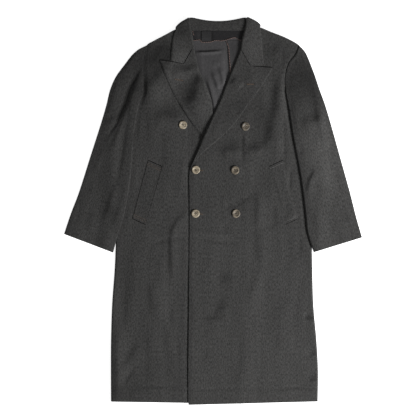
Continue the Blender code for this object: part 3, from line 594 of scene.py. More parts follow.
def panelShape(sections, columns, rows, leftTurns, rightTurns, heightAt, footAt):
    steps = evenSteps(sections, rows, 0, 3)
    places = stations(columns, leftTurns, rightTurns)

    def shape(i, j):
        row = rowAt(sections, steps[j])
        share = places[i, 0]
        turn = places[i, 1]
        leftRun = np.clip(row[:, 2], 0, 1) * edge["run"]
        rightRun = np.clip(row[:, 5], 0, 1) * edge["run"]
        span = row[:, 3:5] - row[:, 0:2]
        width = np.linalg.norm(span, axis=1)
        way = span / width[:, None]
        plan = row[:, 0:2] + way * (leftRun + share * (width - leftRun - rightRun))[:, None]
        z = heightAt(plan[:, 0], plan[:, 1], share)
        foot = footAt(plan[:, 0], plan[:, 1])
        run = np.where(turn < 0, leftRun, rightRun)
        angle = edge["angle"] * np.abs(turn) * run / edge["run"]
        plan = plan + way * (np.sign(turn) * run * np.sin(angle))[:, None]
        return plan[:, 0], plan[:, 1], foot + (z - foot) * np.cos(angle)

    return shape, len(places) - 1


# finishes
yarns = ("Dark Yarn", "Light Yarn", "Warm Fleck", "Cool Fleck")


def addNode(tree, kind, x, y, **values):
    item = tree.nodes.new(kind)
    item.location = (x, y)
    for key, value in values.items():
        item.inputs[key.replace("_", " ")].default_value = value
    return item


def addMath(tree, operation, x, y, first, second):
    item = tree.nodes.new("ShaderNodeMath")
    item.operation = operation
    item.location = (x, y)
    for at, value in enumerate((first, second)):
        if hasattr(value, "links"):
            tree.links.new(value, item.inputs[at])
        else:
            item.inputs[at].default_value = value
    return item.outputs[0]


def addStretch(tree, place, x, y, scale):
    item = tree.nodes.new("ShaderNodeVectorMath")
    item.operation = "MULTIPLY"
    item.location = (x, y)
    tree.links.new(place, item.inputs[0])
    item.inputs[1].default_value = scale
    return item.outputs[0]


def addNoise(tree, place, x, y, detail):
    item = tree.nodes.new("ShaderNodeTexNoise")
    item.location = (x, y)
    item.inputs["Scale"].default_value = 1.0
    item.inputs["Detail"].default_value = detail
    item.inputs["Roughness"].default_value = 0.55
    tree.links.new(place, item.inputs["Vector"])
    return item.outputs[0]


def addRange(tree, value, x, y, fromLow, fromHigh, toLow, toHigh):
    item = tree.nodes.new("ShaderNodeMapRange")
    item.location = (x, y)
    tree.links.new(value, item.inputs["Value"])
    item.inputs["From Min"].default_value = fromLow
    item.inputs["From Max"].default_value = fromHigh
    item.inputs["To Min"].default_value = toLow
    item.inputs["To Max"].default_value = toHigh
    return item.outputs[0]


def addMix(tree, factor, x, y, first, second):
    item = tree.nodes.new("ShaderNodeMix")
    item.data_type = "RGBA"
    item.location = (x, y)
    tree.links.new(factor, item.inputs[0])
    tree.links.new(first, item.inputs[6])
    tree.links.new(second, item.inputs[7])
    return item.outputs[2]


def addScale(tree, colour, factor, x, y):
    item = tree.nodes.new("ShaderNodeVectorMath")
    item.operation = "SCALE"
    item.location = (x, y)
    tree.links.new(colour, item.inputs[0])
    tree.links.new(factor, item.inputs["Scale"])
    return item.outputs[0]


def addBump(tree, shader, height, x, y, strength, distance):
    bump = addNode(tree, "ShaderNodeBump", x, y, Strength=strength, Distance=distance)
    tree.links.new(height, bump.inputs["Height"])
    tree.links.new(bump.outputs["Normal"], shader.inputs["Normal"])


def startFinish(name):
    finish = bpy.data.materials.new(name)
    finish.use_nodes = True
    tree = finish.node_tree
    return finish, tree, tree.nodes["Principled BSDF"]


def makeTwillGroup():
    # yarn streaks along the grain, twill lines across it and flecks of other wool
    tree = bpy.data.node_groups.new("woolTwill", "ShaderNodeTree")
    face = tree.interface
    face.new_socket("Place", in_out="INPUT", socket_type="NodeSocketVector")
    for name in yarns:
        face.new_socket(name, in_out="INPUT", socket_type="NodeSocketColor")
    face.new_socket("Color", in_out="OUTPUT", socket_type="NodeSocketColor")
    face.new_socket("Height", in_out="OUTPUT", socket_type="NodeSocketFloat")
    given = addNode(tree, "NodeGroupInput", -1200, 0)
    made = addNode(tree, "NodeGroupOutput", 900, 0)
    place = given.outputs["Place"]
    streak = addNoise(tree, addStretch(tree, place, -1000, 300, (340, 125, 1)), -800, 300, 2)
    slub = addNoise(tree, addStretch(tree, place, -1000, 120, (620, 380, 1)), -800, 120, 2)
    broad = addNoise(tree, addStretch(tree, place, -1000, -60, (16, 5, 1)), -800, -60, 2)
    warp = addNoise(tree, addStretch(tree, place, -1000, -600, (150, 9, 1)), -800, -600, 1)
    warm = addNoise(tree, addStretch(tree, place, -1000, -240, (760, 300, 1)), -800, -240, 1)
    cool = addNoise(tree, addStretch(tree, place, -1000, -420, (690, 330, 1)), -800, -420, 1)
    twill = tree.nodes.new("ShaderNodeTexWave")
    twill.location = (-800, 520)
    twill.bands_direction = "DIAGONAL"
    twill.inputs["Scale"].default_value = 330
    twill.inputs["Distortion"].default_value = 1.2
    tree.links.new(place, twill.inputs["Vector"])
    yarn = addMath(tree, "ADD", -450, 250, addMath(tree, "MULTIPLY", -620, 300, streak, 0.62),
                   addMath(tree, "MULTIPLY", -620, 120, slub, 0.38))
    depth = addMath(tree, "ADD", -300, 320, yarn,
                    addMath(tree, "MULTIPLY", -620, 520, twill.outputs["Fac"], 0.12))
    share = addRange(tree, depth, -150, 250, 0.44, 0.68, 0, 1)
    cloth = addMix(tree, share, 50, 200, given.outputs["Dark Yarn"], given.outputs["Light Yarn"])
    warmShare = addRange(tree, warm, -150, -200, 0.62, 0.74, 0, 0.7)
    cloth = addMix(tree, warmShare, 250, 150, cloth, given.outputs["Warm Fleck"])
    coolShare = addRange(tree, cool, -150, -420, 0.62, 0.74, 0, 0.6)
    cloth = addMix(tree, coolShare, 430, 100, cloth, given.outputs["Cool Fleck"])
    broadTone = addRange(tree, broad, -150, -60, 0.3, 0.7, 0.93, 1.07)
    warpTone = addRange(tree, warp, -150, -600, 0.3, 0.7, 0.92, 1.08)
    unevenness = addMath(tree, "MULTIPLY", 430, -100, broadTone, warpTone)
    tree.links.new(addScale(tree, cloth, unevenness, 650, 60), made.inputs["Color"])
    tree.links.new(depth, made.inputs["Height"])
    return tree


twillGroup = makeTwillGroup()


def makeClothFinish(name, look):
    finish, tree, shader = startFinish(name)
    place = addNode(tree, "ShaderNodeUVMap", -700, 0)
    place.uv_map = "cloth"
    weave = tree.nodes.new("ShaderNodeGroup")
    weave.node_tree = twillGroup
    weave.location = (-450, 0)
    tree.links.new(place.outputs["UV"], weave.inputs["Place"])
    for key in yarns:
        weave.inputs[key].default_value = (*look[key], 1)
    # the base colour is scaled by the painted shade and light factor
    paintedShadingAndTone = addNode(tree, "ShaderNodeAttribute", -450, 250)
    paintedShadingAndTone.attribute_name = "paintedShadingAndTone"
    tone = addScale(tree, weave.outputs["Color"], paintedShadingAndTone.outputs["Fac"], -220, 100)
    tree.links.new(tone, shader.inputs["Base Color"])
    addBump(tree, shader, weave.outputs["Height"], -220, -250, look["bump"], 0.0008)
    shader.inputs["Roughness"].default_value = look["roughness"]
    shader.inputs["Specular IOR Level"].default_value = look["specular"]
    shader.inputs["Sheen Weight"].default_value = look["sheen"]
    shader.inputs["Sheen Roughness"].default_value = 0.45
    shader.inputs["Sheen Tint"].default_value = (0.80, 0.80, 0.79, 1)
    return finish


woolLook = {
    "Dark Yarn": (0.0215, 0.0210, 0.0206),
    "Light Yarn": (0.0630, 0.0625, 0.0610),
    "Warm Fleck": (0.078, 0.066, 0.052),
    "Cool Fleck": (0.044, 0.050, 0.060),
    "bump": 0.35,
    "roughness": 0.92,
    "specular": 0.18,
    "sheen": 0.06,
}
liningLook = {
    "Dark Yarn": (0.043, 0.042, 0.043),
    "Light Yarn": (0.067, 0.065, 0.067),
    "Warm Fleck": (0.064, 0.057, 0.055),
    "Cool Fleck": (0.052, 0.053, 0.060),
    "bump": 0.12,
    "roughness": 0.60,
    "specular": 0.25,
    "sheen": 0.0,
}
facingLook = {
    "Dark Yarn": (0.0100, 0.0098, 0.0104),
    "Light Yarn": (0.0200, 0.0192, 0.0200),
    "Warm Fleck": (0.0220, 0.0185, 0.0185),
    "Cool Fleck": (0.0160, 0.0164, 0.0195),
    "bump": 0.10,
    "roughness": 0.55,
    "specular": 0.25,
    "sheen": 0.0,
}
tabLook = dict(facingLook)
tabLook.update({"Dark Yarn": (0.0190, 0.0190, 0.0195), "Light Yarn": (0.0330, 0.0325, 0.0330)})
woolFinish = makeClothFinish("charcoalTwill", woolLook)
liningFinish = makeClothFinish("greyLining", liningLook)
facingFinish = makeClothFinish("darkSatin", facingLook)
tabFinish = makeClothFinish("tabSatin", tabLook)


def makeThreadFinish(name, dark, light, roughness, twists=420):
    # twisted thread: fine slanting lines
    finish, tree, shader = startFinish(name)
    place = addNode(tree, "ShaderNodeTexCoord", -900, 0)
    twist = tree.nodes.new("ShaderNodeTexWave")
    twist.location = (-650, 0)
    twist.bands_direction = "DIAGONAL"
    twist.inputs["Scale"].default_value = twists
    twist.inputs["Distortion"].default_value = 2.0
    tree.links.new(place.outputs["Object"], twist.inputs["Vector"])
    ramp = addNode(tree, "ShaderNodeValToRGB", -420, 0)
    ramp.color_ramp.elements[0].color = (*dark, 1)
    ramp.color_ramp.elements[1].color = (*light, 1)
    tree.links.new(twist.outputs["Fac"], ramp.inputs["Fac"])
    tree.links.new(ramp.outputs["Color"], shader.inputs["Base Color"])
    addBump(tree, shader, twist.outputs["Fac"], -420, -300, 0.4, 0.0003)
    shader.inputs["Roughness"].default_value = roughness
    return finish


roseFinish = makeThreadFinish("rosePiping", (0.045, 0.032, 0.029), (0.190, 0.124, 0.110), 0.7, 85)
silkFinish = makeThreadFinish("brownSilk", (0.060, 0.041, 0.028), (0.135, 0.090, 0.060), 0.6)
greySilkFinish = makeThreadFinish("greySilk", (0.080, 0.079, 0.076), (0.190, 0.186, 0.178), 0.6)
# near-black thread without specular: painted shadow in slits and seams
paintedShadowFinish = makeThreadFinish("paintedShadowLine", (0.002, 0.002, 0.002), (0.004, 0.004, 0.004), 0.9)
paintedShadowFinish.node_tree.nodes["Principled BSDF"].inputs["Specular IOR Level"].default_value = 0.0
blackSilkFinish = makeThreadFinish("darkSilk", (0.020, 0.019, 0.019), (0.055, 0.052, 0.050), 0.6)


def makeHornFinish(name, dark, middle, light):
    finish, tree, shader = startFinish(name)
    place = addNode(tree, "ShaderNodeTexCoord", -1000, 0)
    grain = addStretch(tree, place.outputs["Object"], -800, 0, (70, 240, 90))
    streak = addNoise(tree, grain, -600, 0, 4)
    ramp = addNode(tree, "ShaderNodeValToRGB", -380, 0)
    ramp.color_ramp.elements[0].position = 0.34
    ramp.color_ramp.elements[0].color = (*dark, 1)
    ramp.color_ramp.elements[1].position = 0.66
    ramp.color_ramp.elements[1].color = (*light, 1)
    between = ramp.color_ramp.elements.new(0.5)
    between.color = (*middle, 1)
    tree.links.new(streak, ramp.inputs["Fac"])
    tree.links.new(ramp.outputs["Color"], shader.inputs["Base Color"])
    tree.links.new(addRange(tree, streak, -380, -250, 0.3, 0.7, 0.40, 0.58), shader.inputs["Roughness"])
    addBump(tree, shader, streak, -380, -450, 0.15, 0.0003)
    return finish


paleHorn = makeHornFinish("paleHorn", (0.130, 0.105, 0.074), (0.285, 0.238, 0.170),
                          (0.460, 0.400, 0.300))
greyHorn = makeHornFinish("greyHorn", (0.050, 0.042, 0.033), (0.130, 0.108, 0.080),
                          (0.265, 0.220, 0.162))
print("finishes made")

# back
back = {
    "columns": 44,
    "rows": 90,
    "cut": (0.64, 1.17),
    "area": 0.68,
    # x, rise of the top line above the straight line between the shoulders
    "top": np.array([
        (-0.2155, 0.000), (-0.1240, 0.042), (-0.1000, 0.031), (-0.0720, 0.022),
        (-0.0320, 0.013), (0.0080, 0.012), (0.0480, 0.014), (0.0880, 0.024),
        (0.1160, 0.034), (0.1400, 0.046), (0.2640, 0.000),
    ]),
    "topDrop": 0.004,
    "riseLow": 1.00,      # the sides keep their line up to here
    "riseRun": 0.09,
    "neckRows": 5,        # rows of the fronts that lie above the shoulders
}


def backShape(i, j):
    t = j / back["rows"] * (len(frontLeft["sections"]) - back["neckRows"])
    left = rowAt(frontRight["sections"], t)[:, 0:2] + np.array((edge["inset"], 0))
    right = rowAt(frontLeft["sections"], t)[:, 3:5] - np.array((edge["inset"], 0))
    plan = left + (right - left) * (i / back["columns"])[:, None]
    rise = np.interp(plan[:, 0], back["top"][:, 0], back["top"][:, 1]) - back["topDrop"]
    y = plan[:, 1] + rise * soft((plan[:, 1] - back["riseLow"]) / back["riseRun"])
    return plan[:, 0], y, np.full_like(y, layers["bodyWall"])


backPiece = addCloth("backCloth", back["columns"], back["rows"], backShape, layers["bodyWall"],
                     woolFinish, "wool_cloth", "back")
print("back laid")


# fronts
armhole = {"first": 11, "last": 17, "tuck": 0.004}   # rows of the fronts, and how far they go on


def atFoot(x, y):
    return np.full_like(x, edge["foot"])


def tucked(front, at, way):
    # the armhole edge goes on under the sleeve
    rows = [list(row) for row in front["sections"]]
    for row in rows[armhole["first"]:armhole["last"]]:
        row[at] += way * armhole["tuck"]
    return rows


def layFront(name, front, frontTop, way, node):
    turns = (0, edge["turns"]) if way > 0 else (edge["turns"], 0)
    rows = tucked(front, 3 if way > 0 else 0, way)
    shape, columns = panelShape(rows, front["columns"], front["rows"], *turns,
                                lambda x, y, share: frontTop(x, y), atFoot)
    piece = addCloth(name, columns, front["rows"], shape, front["wall"],
                     woolFinish, "wool_cloth", node, patches=front["paintedShadingAndTone"])
    return piece


frontRightPiece = layFront("frontRightCloth", frontRight, frontRightTop, -1, "front_right")
frontLeftPiece = layFront("frontLeftCloth", frontLeft, frontLeftTop, 1, "front_left")
print("fronts laid")

# lapels from the break to the gorge: fold x, y, gorge corner x, y, outer edge x, y, roll
lapelLeft = {
    "wall": 0.0017,
    "columns": 40,
    "rows": 130,
    "cut": (0.14, 0.40),
    "area": 0.030,
    "grain": 0.40,
    "loft": 0.0006,
    "drop": 0.0013,       # the outer edge turns down
    # painted shade: x, y, reach across, reach along, tone
    "paintedShadingAndTone": [(0.105, 0.925, 0.030, 0.040, 0.84), (0.048, 1.000, 0.020, 0.020, 0.80)],
    "flip": False,
    "leaves": [
        (-0.0775, 0.731, -0.0755, 0.734, -0.0735, 0.737, 0.0),
        (-0.0620, 0.770, -0.0535, 0.772, -0.0450, 0.774, 0.35),
        (-0.0420, 0.820, -0.0210, 0.816, 0.0000, 0.812, 1),
        (-0.0230, 0.863, 0.0110, 0.858, 0.0450, 0.853, 1),
        (-0.0050, 0.904, 0.0360, 0.899, 0.0775, 0.893, 1),
        (0.0170, 0.953, 0.0600, 0.942, 0.1039, 0.932, 1),
        (0.0310, 0.990, 0.0790, 0.976, 0.1300, 0.966, 1),
        (0.0470, 1.030, 0.0930, 1.003, 0.1500, 0.996, 1),
        (0.0620, 1.065, 0.1020, 1.026, 0.1660, 1.021, 1),
        (0.0772, 1.1026, 0.1090, 1.0481, 0.1788, 1.0425, 1),
    ],
    "creases": [
        (0.052, 1.008, 0.082, 0.983, 0.0055, 0.013),
        (0.102, 1.038, 0.122, 1.008, 0.0018, 0.008),
        (0.030, 0.930, 0.060, 0.900, 0.0016, 0.014),
        (0.090, 1.010, 0.120, 0.970, 0.0016, 0.014),
        (0.120, 1.030, 0.150, 1.015, 0.0012, 0.010),
        (0.010, 0.880, -0.010, 0.830, 0.0014, 0.012),
    ],
}
lapelRight = {
    "wall": 0.0017,
    "columns": 40,
    "rows": 130,
    "cut": (0.14, 0.41),
    "area": 0.033,
    "grain": -0.40,
    "loft": 0.0004,
    "drop": 0.0017,
    # painted shade, with painted light in one patch: x, y, reach across, reach along, tone
    "paintedShadingAndTone": [
        (-0.080, 0.962, 0.024, 0.030, 0.62), (-0.120, 1.015, 0.040, 0.020, 1.16),
        (-0.056, 1.002, 0.012, 0.018, 0.68), (-0.104, 1.045, 0.020, 0.008, 0.76),
        (-0.050, 1.066, 0.007, 0.024, 0.76), (-0.038, 1.016, 0.007, 0.024, 0.80),
        (-0.0565, 1.0110, 0.006, 0.011, 0.66), (-0.092, 1.046, 0.014, 0.009, 0.78),
    ],
    "flip": True,
    "leaves": [
        (0.0775, 0.731, 0.0755, 0.734, 0.0735, 0.737, 0.0),
        (0.0600, 0.770, 0.0450, 0.774, 0.0300, 0.778, 0.35),
        (0.0360, 0.820, 0.0080, 0.818, -0.0200, 0.815, 1),
        (0.0120, 0.868, -0.0230, 0.860, -0.0580, 0.852, 1),
        (-0.0062, 0.907, -0.0460, 0.899, -0.0850, 0.890, 1),
        (-0.0127, 0.944, -0.0600, 0.933, -0.1060, 0.923, 1),
        (-0.0233, 0.975, -0.0710, 0.960, -0.1234, 0.950, 1),
        (-0.0357, 1.0044, -0.0810, 0.987, -0.1380, 0.980, 1),
        (-0.0500, 1.036, -0.0890, 1.012, -0.1520, 1.012, 1),
        (-0.0590, 1.072, -0.0945, 1.033, -0.1630, 1.040, 1),
        (-0.0674, 1.1112, -0.0993, 1.0545, -0.1725, 1.0655, 1),
    ],
    "creases": [
        (-0.1349, 1.0277, -0.1008, 1.0240, -0.0822, 1.0320, -0.0500, 1.0480, 0.0046, 0.016),
        (-0.0480, 1.0240, -0.0490, 0.9750, -0.0580, 0.9420, -0.0900, 0.9180, 0.0115, 0.036),
        (-0.1150, 0.9900, -0.0950, 0.9500, 0.0014, 0.014),
        (-0.0700, 0.9200, -0.0500, 0.8800, 0.0012, 0.012),
    ],
}


lapelFold = {
    "least": -0.0004,     # how far a crease may sink
    "creaseLow": 0.80,    # the creases start above the break
    "creaseRun": 0.06,
    "dropLow": 0.74,
    "dropRun": 0.03,
    "crowd": 1.5,         # the columns crowd towards the outer edge
}


def leafPlan(row, fromFold):
    fold = row[:, 0:2]
    corner = row[:, 2:4]
    outer = row[:, 4:6]
    s = fromFold[:, None]
    return np.where(s < 0.5, fold + (corner - fold) * s * 2, corner + (outer - corner) * (s * 2 - 1))


def outward(row):
    way = row[:, 0:2] - row[:, 2:4]
    return way / np.linalg.norm(way, axis=1)[:, None]


def lapelTop(lapel, frontTop, x, y):
    loose = restOn(creaseHeight(lapel["creases"], x, y) + lapel["loft"], lapelFold["least"])
    loose = loose * soft((y - lapelFold["creaseLow"]) / lapelFold["creaseRun"])
    return frontTop(x, y) + lapel["wall"] + layers["gap"] * 2 + loose


def lapelShape(lapel, frontTop):
    turns = (0, edge["turns"]) if lapel["flip"] else (edge["turns"], 0)
    places = stations(lapel["columns"], *turns)
    steps = evenSteps(lapel["leaves"], lapel["rows"], 0, 4)

    def shape(i, j):
        row = rowAt(lapel["leaves"], steps[j])
        turn = places[i, 1]
        near = (places[i, 0] if lapel["flip"] else 1 - places[i, 0]) ** lapelFold["crowd"]
        roll = np.clip(row[:, 6], 0, 1)
        out = outward(row)
        plan = leafPlan(row, 1 - near)
        plan = plan - out * (edge["run"] * roll * np.clip(near * 2 - 1, 0, 1))[:, None]
        z = lapelTop(lapel, frontTop, plan[:, 0], plan[:, 1])
        inside = 2 * near * np.linalg.norm(row[:, 4:6] - row[:, 2:4], axis=1)
        turned = soft((plan[:, 1] - lapelFold["dropLow"]) / lapelFold["dropRun"])
        z = z - lapel["drop"] * (1 - soft(inside / edge["dropRun"])) * turned
        angle = edge["angle"] * np.abs(turn) * roll
        low = frontTop(plan[:, 0], plan[:, 1]) - frontLeft["wall"]
        plan = plan + out * (edge["run"] * roll * np.sin(angle))[:, None]
        return plan[:, 0], plan[:, 1], low + (z - low) * np.cos(angle)

    return shape, len(places) - 1


def layLapel(name, lapel, frontTop, node):
    shape, columns = lapelShape(lapel, frontTop)
    piece = addCloth(name, columns, lapel["rows"], shape, lapel["wall"],
                     woolFinish, "wool_cloth", node, lapel["grain"], lapel["paintedShadingAndTone"])


layLapel("lapelRightCloth", lapelRight, frontRightTop, "lapel_right")
layLapel("lapelLeftCloth", lapelLeft, frontLeftTop, "lapel_left")
print("lapels folded back")

# collar leaf: two ends on the fronts, joined under the back of the neck
collar = {
    "wall": 0.002,
    "steps": 30,
    "backSteps": 40,
    "overSteps": 10,
    "grain": 0.5,
    "turn": 0.0085,
    "corner": {"left": 0.55, "right": 0.90},   # the turn is less at the outer edge
    "cornerRound": 8,
    "edgeOut": 0.0008,    # the inner edge reaches a little past the fold
    "edgeIn": 0.0004,
    "drop": 0.0015,
    "dropShare": 0.06,
    # painted light on both faces of the collar, painted shade near its top: x, y, reach across, reach
    # along, tone
    "paintedShadingAndTone": [
        (-0.115, 1.085, 0.034, 0.040, 1.48), (0.120, 1.095, 0.030, 0.055, 1.40),
        (-0.100, 1.163, 0.040, 0.028, 0.68),
    ],
    "lift": {"left": 0.0, "right": -0.0008},   # the outer edges stand off or settle
    "cut": (0.075, 0.52),
    "area": 0.030,
    # fold x, y, middle x, y, outer edge x, y, roll
    "left": [
        (0.0776, 1.1032, 0.1093, 1.0484, 0.1520, 1.050, 1),
        (0.0805, 1.127, 0.1130, 1.088, 0.1470, 1.085, 1),
        (0.0865, 1.151, 0.1160, 1.125, 0.1445, 1.122, 1),
        (0.0920, 1.172, 0.1155, 1.156, 0.1415, 1.148, 1),
        (0.0960, 1.1930, 0.1165, 1.1840, 0.1380, 1.1705, 0),
    ],
    "right": [
        (-0.0678, 1.1118, -0.0996, 1.0549, -0.1386, 1.064, 1),
        (-0.0692, 1.129, -0.1000, 1.092, -0.1365, 1.092, 1),
        (-0.0725, 1.149, -0.1010, 1.124, -0.1340, 1.120, 1),
        (-0.0770, 1.170, -0.1020, 1.153, -0.1305, 1.143, 1),
        (-0.0800, 1.1915, -0.1020, 1.1790, -0.1230, 1.1620, 0),
    ],
    "back": [
        (0.0660, 1.1930, 0.0760, 1.1670, 0.0900, 1.1420, 0),
        (0.0360, 1.1885, 0.0400, 1.1590, 0.0460, 1.1300, 0),
        (0.0080, 1.1870, 0.0080, 1.1570, 0.0080, 1.1270, 0),
        (-0.0200, 1.1885, -0.0240, 1.1590, -0.0300, 1.1300, 0),
        (-0.0500, 1.1930, -0.0600, 1.1670, -0.0740, 1.1420, 0),
    ],
}
collarTurns = np.linspace(1, 0.2, 5)
collarShares = 1 - np.linspace(1, 0, 26) ** 1.4


def collarEnd(side, frontTop):
    wing = collar[side]
    rows = rowAt(wing, np.linspace(0, len(wing) - 1, collar["steps"] + 1))
    sections = []
    for k in range(len(rows)):
        turned = np.repeat(rows[k:k + 1], len(collarTurns), axis=0)
        roll = np.clip(turned[:, 6], 0, 1)
        out = outward(turned)
        plan = turned[:, 0:2] - out * (edge["run"] * roll)[:, None]
        top = frontTop(plan[:, 0], plan[:, 1]) + layers["step"] + layers["gap"]
        angle = edge["angle"] * collarTurns * roll
        foot = top - layers["step"] - frontLeft["wall"]
        reach = edge["run"] * roll * np.sin(angle) + collar["edgeOut"] * collarTurns
        plan = plan + out * reach[:, None]
        rolled = np.column_stack((plan, foot + (top - foot) * np.cos(angle)))
        flat = np.repeat(rows[k:k + 1], len(collarShares), axis=0)
        inset = edge["run"] * np.clip(flat[:, 6], 0, 1) + collar["edgeIn"]
        inset = inset * np.clip(1 - collarShares * 2, 0, 1)
        plan = leafPlan(flat, collarShares) - outward(flat) * inset[:, None]
        top = frontTop(plan[:, 0], plan[:, 1]) + layers["step"] + layers["gap"]
        top = top + collar["lift"][side] * collarShares**2 * np.clip(flat[:, 6], 0, 1)
        top = top - collar["drop"] * (1 - soft((1 - collarShares) / collar["dropShare"]))
        sections.append(np.vstack((rolled, np.column_stack((plan, top)))))
    return sections


def collarOver(section, side):
    # over the top of the shoulder to the underside
    along = np.linspace(0, 1, len(section))
    turn = collar["turn"] * (1 - collar["corner"][side] * along[:, None] ** collar["cornerRound"])
    way = section[-1, 0:2] - section[0, 0:2]
    up = np.array((-way[1], way[0])) / np.linalg.norm(way)
    up = up if up[1] > 0 else -up
    rows = []
    for angle in np.linspace(math.pi / collar["overSteps"], math.pi, collar["overSteps"]):
        plan = section[:, 0:2] + up * turn * math.sin(angle)
        rows.append(np.column_stack((plan, section[:, 2] * (1 + math.cos(angle)) / 2)))
    return rows


def collarUnder():
    table = [collar["left"][-1]] + collar["back"] + [collar["right"][-1]]
    steps = np.linspace(0, len(table) - 1, collar["backSteps"] + 1)[1:-1]
    sections = []
    for row in rowAt(table, steps):
        turned = np.repeat(row[None], len(collarTurns), axis=0)
        plan = turned[:, 0:2] + outward(turned) * (collar["edgeOut"] * collarTurns)[:, None]
        flat = np.repeat(row[None], len(collarShares), axis=0)
        inset = collar["edgeIn"] * np.clip(1 - collarShares * 2, 0, 1)
        both = np.vstack((plan, leafPlan(flat, collarShares) - outward(flat) * inset[:, None]))
        sections.append(np.column_stack((both, np.zeros(len(both)))))
    return sections


leftEnd = collarEnd("left", frontLeftTop)
rightEnd = collarEnd("right", frontRightTop)
strip = leftEnd + collarOver(leftEnd[-1], "left") + collarUnder()
strip = np.array(strip + collarOver(rightEnd[-1], "right")[::-1] + rightEnd[::-1])


def collarShape(i, j):
    return strip[j, i, 0], strip[j, i, 1], strip[j, i, 2]


collarPiece = addCloth("collarLeafCloth", strip.shape[1] - 1, strip.shape[0] - 1, collarShape,
                       collar["wall"], woolFinish, "wool_cloth", "collar_fall", collar["grain"],
                       collar["paintedShadingAndTone"])

# collar stand inside the back of the neck
stand = {
    "columns": 70,
    "rows": 14,
    "turns": 6,
    "half": 0.088,
    "middle": 0.008,
    "bottom": 1.158,
    "top": 1.1885,
    "sag": 0.0105,
    "sagHalf": 0.075,
    "sagEnd": 0.120,
    "sagRun": 0.05,
    "flare": 0.022,       # the top corners spread to the fold of the collar
    "flareLow": 1.190,
    "flareRun": 0.009,
    "rest": 0.0049,
    "rise": 0.003,
    "slope": 0.0012,
    "grain": 1.2,
    "cut": (0.040, 0.176),
    "area": 0.0063,
    "creases": [
        (-0.066, 1.186, -0.050, 1.164, -0.0012, 0.004),
        (0.045, 1.180, 0.062, 1.166, 0.0006, 0.006),
    ],
    # darker all over the stand: x, y, reach across, reach along, tone
    "paintedShadingAndTone": [(0.008, 1.175, 0.120, 0.040, 0.86)],
}


def standShape(i, j):
    off = stand["half"] * (2 * i / stand["columns"] - 1)
    sag = stand["sag"] * (off / stand["sagHalf"]) ** 2
    top = stand["top"] + sag * soft((stand["sagEnd"] - np.abs(off)) / stand["sagRun"])
    share = np.minimum(1.0, j / stand["rows"])
    y = stand["bottom"] + share * (top - edge["run"] - stand["bottom"])
    x = stand["middle"] + off
    z = stand["rest"] + stand["rise"] + stand["slope"] * share
    z = z + creaseHeight(stand["creases"], x, y) * np.sin(share * math.pi)
    angle = edge["angle"] * np.clip((j - stand["rows"]) / stand["turns"], 0, 1)
    foot = collar["wall"] + layers["gap"]
    y = y + edge["run"] * np.sin(angle)
    spread = stand["flare"] * (off / stand["half"]) ** 2
    spread = spread * soft((y - stand["flareLow"]) / stand["flareRun"])
    return x + off * spread, y, foot + (z - foot) * np.cos(angle)


standPiece = addCloth("collarStandCloth", stand["columns"], stand["rows"] + stand["turns"], standShape,
                      layers["bodyWall"], woolFinish, "wool_cloth", "collar_stand", stand["grain"],
                      stand["paintedShadingAndTone"])
print("collar turned down")

# inside of the neck
lining = {
    "wall": 0.001,
    "columns": 60,
    "rows": 190,
    "rest": 0.0023,
    "puff": 0.0030,
    "puffTop": 1.110,
    "puffTopRun": 0.040,
    "puffSide": 0.036,    # flat beside the front facing
    "puffSideRun": 0.020,
    "foldTop": 1.118,
    "foldSide": 0.042,
    "foldRun": 0.012,
    "edgeShare": 0.25,
    "cut": (0.20, 0.27),
    "area": 0.033,
    "sections": [
        (-0.022, 0.875, 0, 0.004, 0.875, 0),
        (-0.032, 0.920, 0, 0.022, 0.920, 0),
        (-0.045, 0.970, 0, 0.040, 0.970, 0),
        (-0.065, 1.020, 0, 0.060, 1.020, 0),
        (-0.080, 1.070, 0, 0.085, 1.070, 0),
        (-0.088, 1.110, 0, 0.098, 1.110, 0),
        (-0.092, 1.140, 0, 0.104, 1.140, 0),
    ],
    "creases": [
        (-0.0640, 1.0905, -0.0250, 1.0915, 0.0060, 1.0940, 0.0200, 1.0965, 0.0042, 0.0050),
        (-0.0270, 1.0120, -0.0150, 0.9770, -0.0055, 0.9350, 0.0000, 0.9080, 0.0045, 0.0075),
        (-0.0090, 1.0300, 0.0030, 1.0000, 0.0090, 0.9760, 0.0040, 0.0085),
        (0.0140, 1.0440, 0.0230, 1.0170, 0.0260, 0.9880, 0.0032, 0.0090),
        (-0.0100, 1.0600, 0.0150, 1.0560, 0.0018, 0.0090),
    ],
    # painted shadow line along the top of the horizontal fold: x, y, reach across, reach along, tone
    "paintedShadingAndTone": [(-0.034, 1.0945, 0.040, 0.0022, 0.62)],
}
neckSeam = [
    (-0.0780, 1.1275), (-0.0667, 1.1278), (-0.0480, 1.1300), (-0.0420, 1.1228), (-0.0140, 1.1237),
    (-0.0016, 1.1278), (0.0170, 1.1268), (0.0310, 1.1290), (0.0592, 1.1368), (0.0747, 1.1290),
    (0.0880, 1.1280),
]
facingSeam = [
    (0.0333, 1.1245), (0.0400, 1.1080), (0.0425, 1.0816), (0.0448, 1.0500), (0.0455, 1.0280),
]
neckFacing = {
    "wall": 0.001,
    "columns": 80,
    "rows": 16,
    "rest": 0.0036,
    "top": 1.160,
    "start": -0.078,
    "width": 0.166,
    "overSeam": 0.0032,   # room for the piping
    "grain": 1.57,
    "cut": (0.036, 0.166),
    "area": 0.0052,
    # lighter on one side of the tab, in its shade on the other
    "paintedShadingAndTone": [(-0.0515, 1.142, 0.009, 0.020, 1.60), (-0.0095, 1.142, 0.004, 0.018, 0.55)],
}
